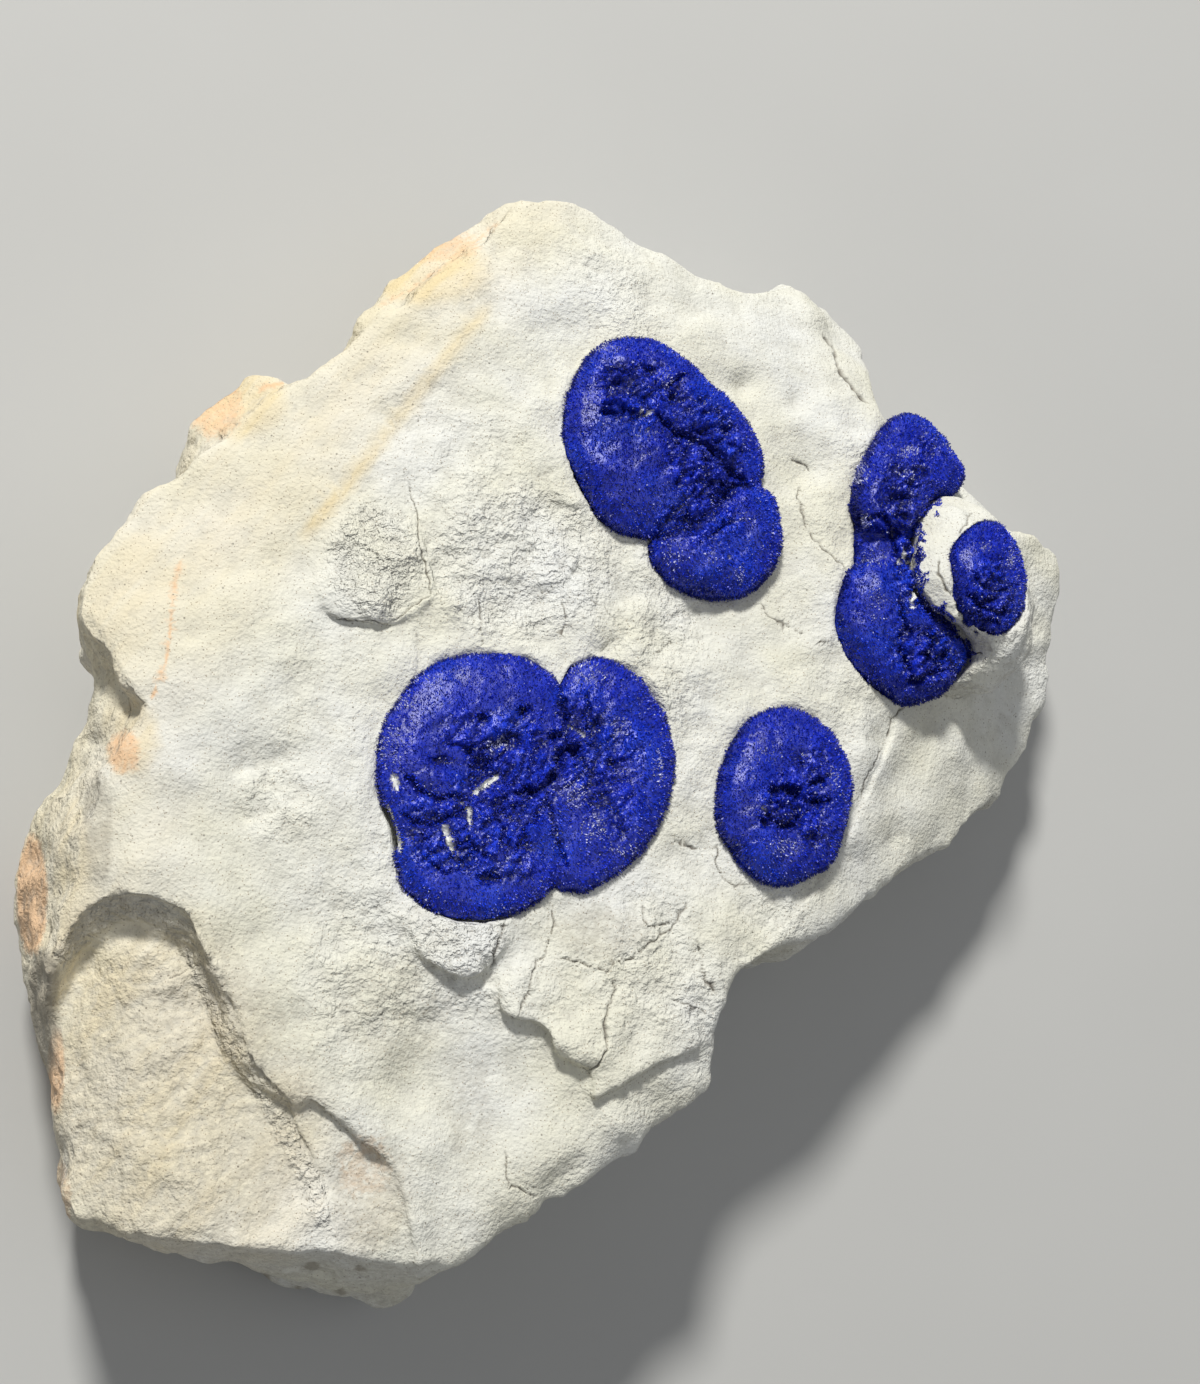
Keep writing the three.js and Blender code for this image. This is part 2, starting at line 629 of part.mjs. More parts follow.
// One lobe of a sun, or its socket: a cushion with steep sides, a hollowed middle and an uneven top.
function lobeSolid(lobe, gap) {
  const seat = seatOf(lobe);
  const away = seat.clone().invert();
  const { thickness, root, hollow } = lobe;
  const eyeHere = eye.clone().applyMatrix4(away);
  const points = lobe.edge.map((pixel) => {
    const ray = sightLine(pixel).transformDirection(away);
    return eyeHere.clone().addScaledVector(ray, (OUTLINE_LEVEL * thickness - eyeHere.z) / ray.z);
  });
  const loop = evenLoop(points, new THREE.Vector3(), SUN_SIDES);
  const atShare = (share, height) =>
    loop.map((p) => {
      const out = p.clone().setZ(0).normalize();
      return p.clone().multiplyScalar(share).addScaledVector(out, gap).setZ(height);
    });
  const dome = (share) => {
    const crown = (1 - share ** DOME.flatness) ** DOME.steepness;
    return thickness * crown * (1 - hollow * Math.exp(-((share / HOLLOW_SHARE) ** 2)));
  };
  const domeRing = (share) =>
    atShare(share, dome(share)).map((p) => p.setZ(p.z + uneven(SUN_WAVES, p.x, p.y, thickness)));
  const crystal = [
    atShare(ROOT_SHARE, -root),
    atShare(1, OUTLINE_LEVEL * thickness),
    atShare(SUN_SHOULDER, dome(SUN_SHOULDER)),
    ...SUN_RINGS.map(domeRing),
  ];
  const socket = [atShare(ROOT_SHARE, -root - gap), atShare(1, 0), atShare(1, OVERSHOOT)];
  const inSeat = (p) => p.applyMatrix4(seat);
  return shell(
    inSeat(new THREE.Vector3(0, 0, -root - gap)),
    (gap > 0 ? socket : crystal).map((ring) => ring.map(inSeat)),
    inSeat(new THREE.Vector3(0, 0, gap > 0 ? OVERSHOOT : dome(0))),
  );
}

function sunSolid({ lobes }) {
  return lobes.map((lobe) => lobeSolid(lobe, 0)).reduce((sun, lobe) => sun.add(lobe));
}

function stoneSolid() {
  let stone = flankSolid();
  for (const flat of BREAKS) stone = stone.subtract(breakSolid(flat));
  stone = stone.intersect(faceBlock());
  for (const plate of PLATES) stone = stone.add(plateSolid(plate));
  for (const spall of SPALLS) stone = stone.subtract(spallSolid(spall));
  stone = stone.add(bossSolid());
  for (const { lobes } of Object.values(SUNS)) {
    for (const lobe of lobes) stone = stone.subtract(lobeSolid(lobe, SOCKET_GAP));
  }
  const bodies = stone.decompose();
  return bodies.reduce((largest, body) => (body.volume() > largest.volume() ? body : largest));
}

function meshOf(name, solid, material) {
  const { numProp, numVert, vertProperties, triVerts } = solid.getMesh();
  const place = new Float32Array(numVert * 3);
  for (let i = 0; i < numVert; i++) place.set(vertProperties.subarray(i * numProp, i * numProp + 3), i * 3);
  const geometry = new THREE.BufferGeometry();
  geometry.setAttribute("position", new THREE.BufferAttribute(place, 3));
  geometry.setIndex(new THREE.BufferAttribute(triVerts, 1));
  const mesh = new THREE.Mesh(geometry, material);
  mesh.name = name;
  return mesh;
}

const claystone = new THREE.MeshStandardMaterial({ color: 0xd9d6c8, roughness: 0.95, metalness: 0 });
const azurite = new THREE.MeshStandardMaterial({ color: 0x1a23b4, roughness: 0.45, metalness: 0 });

const specimen = new THREE.Group();
specimen.add(meshOf("claystone_matrix", stoneSolid(), claystone));
for (const [name, sun] of Object.entries(SUNS)) specimen.add(meshOf(name, sunSolid(sun), azurite));

// The origin is under the middle of the whole specimen, on the surface that it lies on.
const box = new THREE.Box3().setFromObject(specimen);
const middle = box.getCenter(new THREE.Vector3());
specimen.position.set(-middle.x, -middle.y, -box.min.z);

export default specimen;
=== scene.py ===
"""A block of chalky claystone with suns of azurite: flat rosettes covered all over in tiny blue blades.

The stone and its suns start as copies of the construction's solids, so every form sits where it does there.
Lengths are in metres. Places read off the picture are pixels of a 1200 by 1384 frame.
"""

import math

import bpy
import numpy as np
from mathutils import Matrix, Vector
from mathutils.bvhtree import BVHTree


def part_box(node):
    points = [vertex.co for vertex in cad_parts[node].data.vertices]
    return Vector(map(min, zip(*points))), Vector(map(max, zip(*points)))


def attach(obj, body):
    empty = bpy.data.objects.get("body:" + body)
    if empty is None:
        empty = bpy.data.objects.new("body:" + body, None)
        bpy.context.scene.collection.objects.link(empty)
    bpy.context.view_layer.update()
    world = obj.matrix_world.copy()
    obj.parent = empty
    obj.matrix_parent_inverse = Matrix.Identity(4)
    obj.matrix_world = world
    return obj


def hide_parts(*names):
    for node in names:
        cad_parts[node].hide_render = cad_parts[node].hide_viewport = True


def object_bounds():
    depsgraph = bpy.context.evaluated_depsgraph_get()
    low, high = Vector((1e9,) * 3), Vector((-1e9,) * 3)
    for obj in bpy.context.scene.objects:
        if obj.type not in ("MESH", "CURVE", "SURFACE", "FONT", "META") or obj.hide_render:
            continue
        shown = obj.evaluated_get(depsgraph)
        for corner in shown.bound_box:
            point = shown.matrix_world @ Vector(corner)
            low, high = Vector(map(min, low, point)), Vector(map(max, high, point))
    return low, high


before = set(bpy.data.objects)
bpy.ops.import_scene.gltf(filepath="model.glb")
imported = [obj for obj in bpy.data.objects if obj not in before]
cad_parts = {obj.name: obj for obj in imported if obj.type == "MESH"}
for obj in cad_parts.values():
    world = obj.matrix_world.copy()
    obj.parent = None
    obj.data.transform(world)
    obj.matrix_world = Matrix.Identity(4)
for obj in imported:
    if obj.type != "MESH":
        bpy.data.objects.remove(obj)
solid_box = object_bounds()

MM = 0.001
SUNS = [name for name in sorted(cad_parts) if name.startswith("azurite_sun")]

# The camera looks down on the display face from its left and a little below it.
PICTURE_SIZE = (1200, 1384)
FOCAL_PIXELS = 2200
EYE_DISTANCE = 385 * MM
EYE_LEFT = math.radians(17)
EYE_BELOW = math.radians(13)
FACE_MIDDLE = np.array([-3.93, 3.07, 50.0]) * MM
SENSOR = 36.0

to_eye = np.array([-math.tan(EYE_LEFT), -math.tan(EYE_BELOW), 1.0])
to_eye /= np.linalg.norm(to_eye)
eye_right = np.array([1.0, 0.0, 0.0]) - to_eye[0] * to_eye
eye_right /= np.linalg.norm(eye_right)
eye_up = np.cross(to_eye, eye_right)
eye = FACE_MIDDLE + EYE_DISTANCE * to_eye

# How finely each thing is built.
STONE_VOXEL = 0.62 * MM
STONE_TRIANGLES = 150_000
STONE_SMOOTHING = 13
SUN_VOXEL = 0.38 * MM
SUN_SMOOTHING = 10
SUN_SWELL = 0.22 * MM
BLADES_PER_MM2 = 13.0
MOST_SUN_TRIANGLES = 196_000
UNDERSIDE_KEPT = 0.08
PRESSED_HEIGHT = 4.0 * MM

# The blades, in millimetres: width, height, what those at a rim gain in height, and how deep they are rooted.
BLADE_WIDTH = (0.055, 0.16)
BLADE_HEIGHT = (0.12, 0.42)
RIM_GAIN = (0.0, 0.5)
BLADE_ROOT = 0.30
# The share of blades painted pale as glints, besides those in glinting patches.
SPARKLING_SHARE = 0.012

# No blade stands where the stone is closer in front of it than the first. The stone stays plain within the
# second of a sun.
CLEAR_OF_STONE = 1.1 * MM
SOCKET_LIP = 1.4 * MM

# The surface of the stone: size and height of its lumps in millimetres, and how far they go by roughness.
GRAIN = [(10.0, 1.3, 0.4), (5.0, 0.85, 0.5), (2.1, 0.26, 0.9), (1.2, 0.17, 0.95)]

# The scoop's floor is rippled across its length.
RIPPLE_GRAIN = np.array([[0.75, -0.15, 0.0], [-0.15, 1.1, 0.0], [0.0, 0.0, 1.0]])

# Edges of the stone stay crisp within this width, and its flat back and foot keep their place.
CRISP_WIDTH = 2.2 * MM
FLAT_BACK = 0.4 * MM
STILL_FOOT = 1.2 * MM

# Fine lines get extra faces this close to them. They are looked for this many pixels round them, where the
# stone faces the eye by more than this share.
FINE_REACH = 1.3 * MM
FINE_CUTS = 2
LINE_MARGIN = 12
TORN_MARGIN = 14
FACES_EYE = 0.1

# Rough patches of the face: middle and radii in pixels, and how rough.
ROUGH_PATCHES = [
    ((375, 560), (55, 68), 1.0), ((520, 560), (115, 95), 0.75), ((590, 1000), (120, 75), 0.4),
    ((455, 935), (60, 45), 0.8), ((820, 560), (60, 120), 0.28), ((660, 1110), (75, 60), 0.36),
    ((280, 800), (50, 50), 0.5), ((780, 400), (110, 60), 0.1), ((410, 850), (60, 80), 0.4),
]

# Smooth patches of the face: middle and radii in pixels.
CALM_PATCHES = [
    ((480, 1090), (110, 90)), ((950, 760), (90, 110)), ((740, 290), (110, 70)), ((800, 380), (110, 80)),
    ((960, 560), (50, 110)), ((760, 620), (70, 60)), ((815, 520), (60, 90)), ((890, 900), (90, 60)),
]

# The face is calm at the left, and past a line at the upper left that slants: the pixels where calm comes in.
CALM_LEFT = (330, 240)
CALM_UPPER_LEFT = (880, 640)
CALM_SLANT = 0.8

# Soft dents and swellings of the face: middle in pixels, radius and height in millimetres.
DENTS = [
    ((745, 384), 2.3, -1.7), ((797, 400), 1.9, -1.3), ((785, 345), 2.2, -0.7), ((810, 470), 2.6, -0.9),
    ((780, 490), 2.0, -0.6), ((700, 620), 4.0, -0.6), ((112, 952), 3.2, 1.0), ((148, 948), 3.2, 1.1),
    ((176, 980), 3.2, 0.9), ((194, 1030), 3.2, 0.7), ((268, 772), 3.6, -0.9), ((250, 820), 3.0, -0.7),
    ((640, 610), 3.0, 0.5), ((560, 608), 3.0, 0.9), ((500, 600), 3.6, -1.2), ((592, 628), 2.2, 0.8),
    ((604, 648), 2.2, -0.9), ((540, 640), 2.4, -0.7), ((454, 606), 2.6, 0.8), ((436, 655), 2.4, 0.7),
    ((625, 590), 3.0, -0.7), ((440, 460), 5.0, 0.5), ((730, 660), 4.0, 0.5), ((450, 1040), 9.0, -1.3),
    ((402, 1090), 4.5, -0.8), ((430, 1150), 5.0, 0.8), ((545, 1150), 5.0, 0.9),
    ((500, 1120), 3.5, -0.6), ((582, 1146), 4.4, 1.2), ((530, 1090), 4.0, -0.7),
    ((640, 1090), 4.0, -0.6), ((420, 930), 4.0, 0.8), ((385, 890), 3.5, 0.6), ((860, 760), 3.5, 0.9),
    ((845, 840), 4.0, 0.8), ((905, 780), 5.0, -0.8), ((700, 900), 4.0, 0.6), ((690, 960), 3.0, -0.5),
    ((610, 300), 4.0, 0.5), ((690, 300), 4.0, -0.6), ((660, 250), 4.0, 0.5), ((610, 1120), 3.0, 0.7),
    ((860, 560), 2.5, 0.5),
]

# Cracks: a path in pixels, and their width and depth in millimetres.
CRACKS = [
    ([(406, 472), (410, 490), (418, 520), (420, 545), (428, 576), (431, 594), (414, 606),
      (388, 625)], 0.11, 0.5),
    ([(334, 619), (352, 621), (370, 622), (388, 625)], 0.12, 0.4),
    ([(820, 330), (835, 350), (838, 368), (850, 384), (862, 398), (875, 406)], 0.23, 0.7),
    ([(506, 921), (501, 936), (496, 953), (491, 970)], 0.15, 0.56),
    ([(552, 902), (554, 926), (547, 948), (546, 956), (537, 962), (530, 982), (525, 999),
      (516, 1019)], 0.15, 0.49),
    ([(547, 959), (564, 958), (579, 962), (591, 968), (608, 972), (616, 962), (632, 958), (654, 941),
      (671, 928), (685, 907), (690, 894)], 0.15, 0.49),
    ([(642, 903), (644, 919), (649, 926), (661, 925), (673, 921)], 0.12, 0.42),
    ([(613, 973), (615, 989), (608, 1006), (605, 1030), (608, 1050), (598, 1067),
      (584, 1072)], 0.17, 0.63),
    ([(697, 936), (702, 962), (706, 982), (717, 994), (723, 1000)], 0.15, 0.49),
    ([(501, 1139), (506, 1159), (506, 1178), (516, 1187), (530, 1195), (542, 1197)], 0.15, 0.49),
    ([(190, 968), (180, 974), (166, 980)], 0.1, 0.3),
    ([(788, 458), (800, 463), (812, 472)], 0.12, 0.35),
    ([(800, 484), (797, 496), (802, 512), (806, 530)], 0.15, 0.42),
    ([(806, 530), (822, 548), (838, 560), (848, 572)], 0.12, 0.42),
    ([(808, 634), (822, 641), (836, 643)], 0.12, 0.35),
    ([(760, 600), (768, 616), (790, 628), (808, 634)], 0.1, 0.28),
    ([(938, 557), (939, 574), (946, 590), (958, 600)], 0.2, 0.49),
    ([(967, 645), (974, 652), (983, 656)], 0.17, 0.49),
    ([(958, 535), (966, 524), (972, 512)], 0.12, 0.35),
    ([(885, 740), (893, 720), (905, 706)], 0.12, 0.35),
    ([(860, 800), (866, 780), (884, 745)], 0.12, 0.28),
    ([(654, 654), (663, 648), (672, 640)], 0.1, 0.28),
    ([(560, 640), (566, 620), (562, 600)], 0.1, 0.24),
    ([(672, 840), (686, 846), (702, 850)], 0.12, 0.35),
    ([(718, 842), (716, 862), (722, 880), (734, 886), (748, 884)], 0.12, 0.35),
    ([(670, 1000), (690, 1004), (706, 1014)], 0.12, 0.35),
    ([(738, 440), (744, 434)], 0.1, 0.21),
    ([(478, 592), (481, 620), (483, 652)], 0.08, 0.3),
    ([(590, 600), (604, 606), (612, 616)], 0.1, 0.24),
]

# Broken ledges: a path in pixels with the low side on its right, how far the high side stands up and how far
# back from the edge the lift and the drop reach, in millimetres.
LEDGES = [
    ([(406, 470), (372, 486), (350, 510), (334, 545)], 0.3, 2.5),
    ([(326, 612), (340, 618), (356, 620), (372, 620), (390, 625)], 0.9, 2.5),
    ([(390, 625), (414, 606), (431, 594), (428, 576), (420, 545), (418, 520), (410, 490)], -0.35, 1.6),
    ([(424, 961), (436, 966), (448, 973), (462, 976), (477, 973), (489, 972)], 0.5, 3.0),
    ([(491, 1004), (508, 1011), (525, 1019), (537, 1028), (550, 1037), (554, 1050), (567, 1059),
      (584, 1071)], 0.5, 3.0),
    ([(593, 1101), (610, 1096), (630, 1081), (647, 1069), (671, 1059), (693, 1050)], 0.25, 3.0),
    ([(300, 1093), (318, 1104), (345, 1127), (372, 1145), (395, 1168), (404, 1199), (413, 1240),
      (420, 1290)], 0.8, 2.2),
    ([(55, 962), (82, 914), (119, 891), (155, 898), (196, 917), (209, 946), (232, 996), (245, 1041),
      (257, 1068), (286, 1093), (300, 1132), (322, 1172), (329, 1204), (338, 1236)], 0.7, 1.4),
    ([(440, 280), (458, 285), (478, 300), (497, 320)], -0.5, 2.2),
    ([(446, 582), (460, 578), (480, 579), (500, 578), (520, 580), (545, 588), (562, 582), (574, 570),
      (580, 546)], 0.8, 1.8),
    ([(552, 466), (550, 485), (556, 500), (572, 508), (590, 505)], 0.9, 2.0),
    ([(414, 626), (416, 650), (418, 678)], -0.6, 2.0),
    ([(600, 650), (610, 640), (622, 634)], 0.9, 2.0),
    ([(664, 620), (690, 606), (716, 590), (724, 566)], 0.5, 2.6),
    ([(84, 603), (104, 636), (121, 668), (139, 697), (150, 709)], 0.5, 2.0),
    ([(232, 775), (262, 768), (282, 765)], -0.9, 2.6),
    ([(244, 822), (262, 818), (280, 812)], -0.8, 2.2),
    ([(905, 700), (890, 740), (870, 790), (850, 830), (820, 880), (790, 920), (750, 962)], 0.7, 7.0),
    ([(760, 905), (786, 884), (812, 868)], 0.4, 3.0),
]

# The scoop's broken wall: a path in pixels, and its half width in millimetres.
SCOOP_WALL = [
    ([(66, 950), (92, 921), (122, 906), (154, 912), (184, 932), (201, 962), (218, 1002), (230, 1042)],
      2.3),
    ([(228, 1036), (246, 1066), (272, 1100), (290, 1140), (312, 1180), (320, 1215)], 1.9),
]

# The scoop's floor, the facet beside it and the notch under the left ledge: middle and radii in pixels.
SCOOP_FLOOR = ((150, 1090), (120, 190))
SECOND_FACET = ((360, 1190), (50, 70))
LEFT_NOTCH = ((116, 690), (42, 56))
NOTCH_RISE = 5.0 * MM

# The rise of the notch's floor fades between these heights in millimetres, at its top and at its foot.
NOTCH_TOP = (50, 42)
NOTCH_FOOT = (18, 34)

# Edges and corners that stay crisp: paths in pixels.
CRISP_EDGES = [
    [(478, 222), (500, 208), (520, 199), (548, 196), (572, 204), (610, 222)],
    [(740, 292), (752, 296), (764, 288), (784, 284), (806, 296)],
    [(96, 560), (84, 590), (84, 606)],
    [(48, 969), (60, 940), (80, 915), (118, 892), (160, 899), (192, 916), (206, 952), (228, 992),
      (248, 1045), (276, 1080), (302, 1110), (321, 1160), (335, 1245)],
    [(75, 960), (100, 930), (130, 920), (165, 940), (190, 970), (205, 1010), (222, 1052)],
]

# Stains: middle and radii in pixels, or a path and its width in millimetres, and how strong.
YELLOW_PATCHES = [
    ((425, 268), (75, 45), 0.95), ((236, 402), (62, 46), 0.95), ((150, 1090), (130, 200), 0.62),
    ((240, 1160), (110, 120), 0.45), ((128, 735), (34, 50), 0.75), ((70, 870), (26, 100), 0.6),
    ((130, 590), (60, 90), 0.5), ((355, 1200), (60, 60), 0.25),
]

# The face is yellow past a slanting line at the upper left, and down its left side. The scoop's wall carries
# painted shade above its lower end. Each pair holds the pixels where a stain, and on the wall the shade,
# comes in.
YELLOW_CORNER = (395, 422)
UP_LEFT = np.array([-0.78, -0.62])
YELLOW_UP_LEFT = (-60, 60)
YELLOW_ACROSS = (240, 60)
YELLOW_DOWN = (480, 600)
SHADED_WALL_DOWN = (1180, 980)

# Stains along lines.
YELLOW_LINE = [(500, 292), (440, 365), (395, 422), (345, 485), (290, 552)]
PEACH_LINES = [
    ([(182, 556), (176, 580), (172, 604)], 1.0, 0.55),
    ([(174, 590), (172, 610), (169, 640), (166, 662), (157, 686), (148, 706)], 0.45, 0.7),
    ([(256, 394), (266, 386), (286, 383)], 0.5, 0.8),
    ([(200, 424), (214, 406), (240, 398)], 0.6, 0.6),
    ([(367, 312), (410, 290), (450, 262), (510, 213)], 0.8, 0.45),
]

# Peach stains in patches, then grey-brown patches.
PEACH_PATCHES = [
    ((124, 752), (20, 26), 0.62), ((32, 895), (17, 66), 0.95), ((56, 1070), (10, 50), 0.7),
    ((215, 405), (34, 40), 0.5), ((430, 245), (60, 22), 0.45), ((365, 1165), (34, 40), 0.34),
    ((60, 1200), (14, 50), 0.4),
]
# Grey-brown patches, partly dull stain and partly painted shade, as below the left sun.
DULL_AND_SHADE_PATCHES = [
    ((180, 1100), (170, 190), 0.36), ((370, 1190), (50, 80), 0.38), ((44, 985), (18, 40), 0.9),
    ((98, 830), (18, 70), 0.5), ((40, 1030), (24, 60), 0.75), ((470, 1110), (30, 80), 0.3),
    ((400, 1010), (80, 70), 0.3), ((600, 932), (60, 34), 0.38), ((312, 1266), (9, 5), 1.1),
    ((263, 1277), (8, 5), 1.0), ((297, 1290), (6, 5), 0.9), ((341, 1292), (7, 4), 1.0),
    ((359, 1268), (5, 4), 0.9),
]
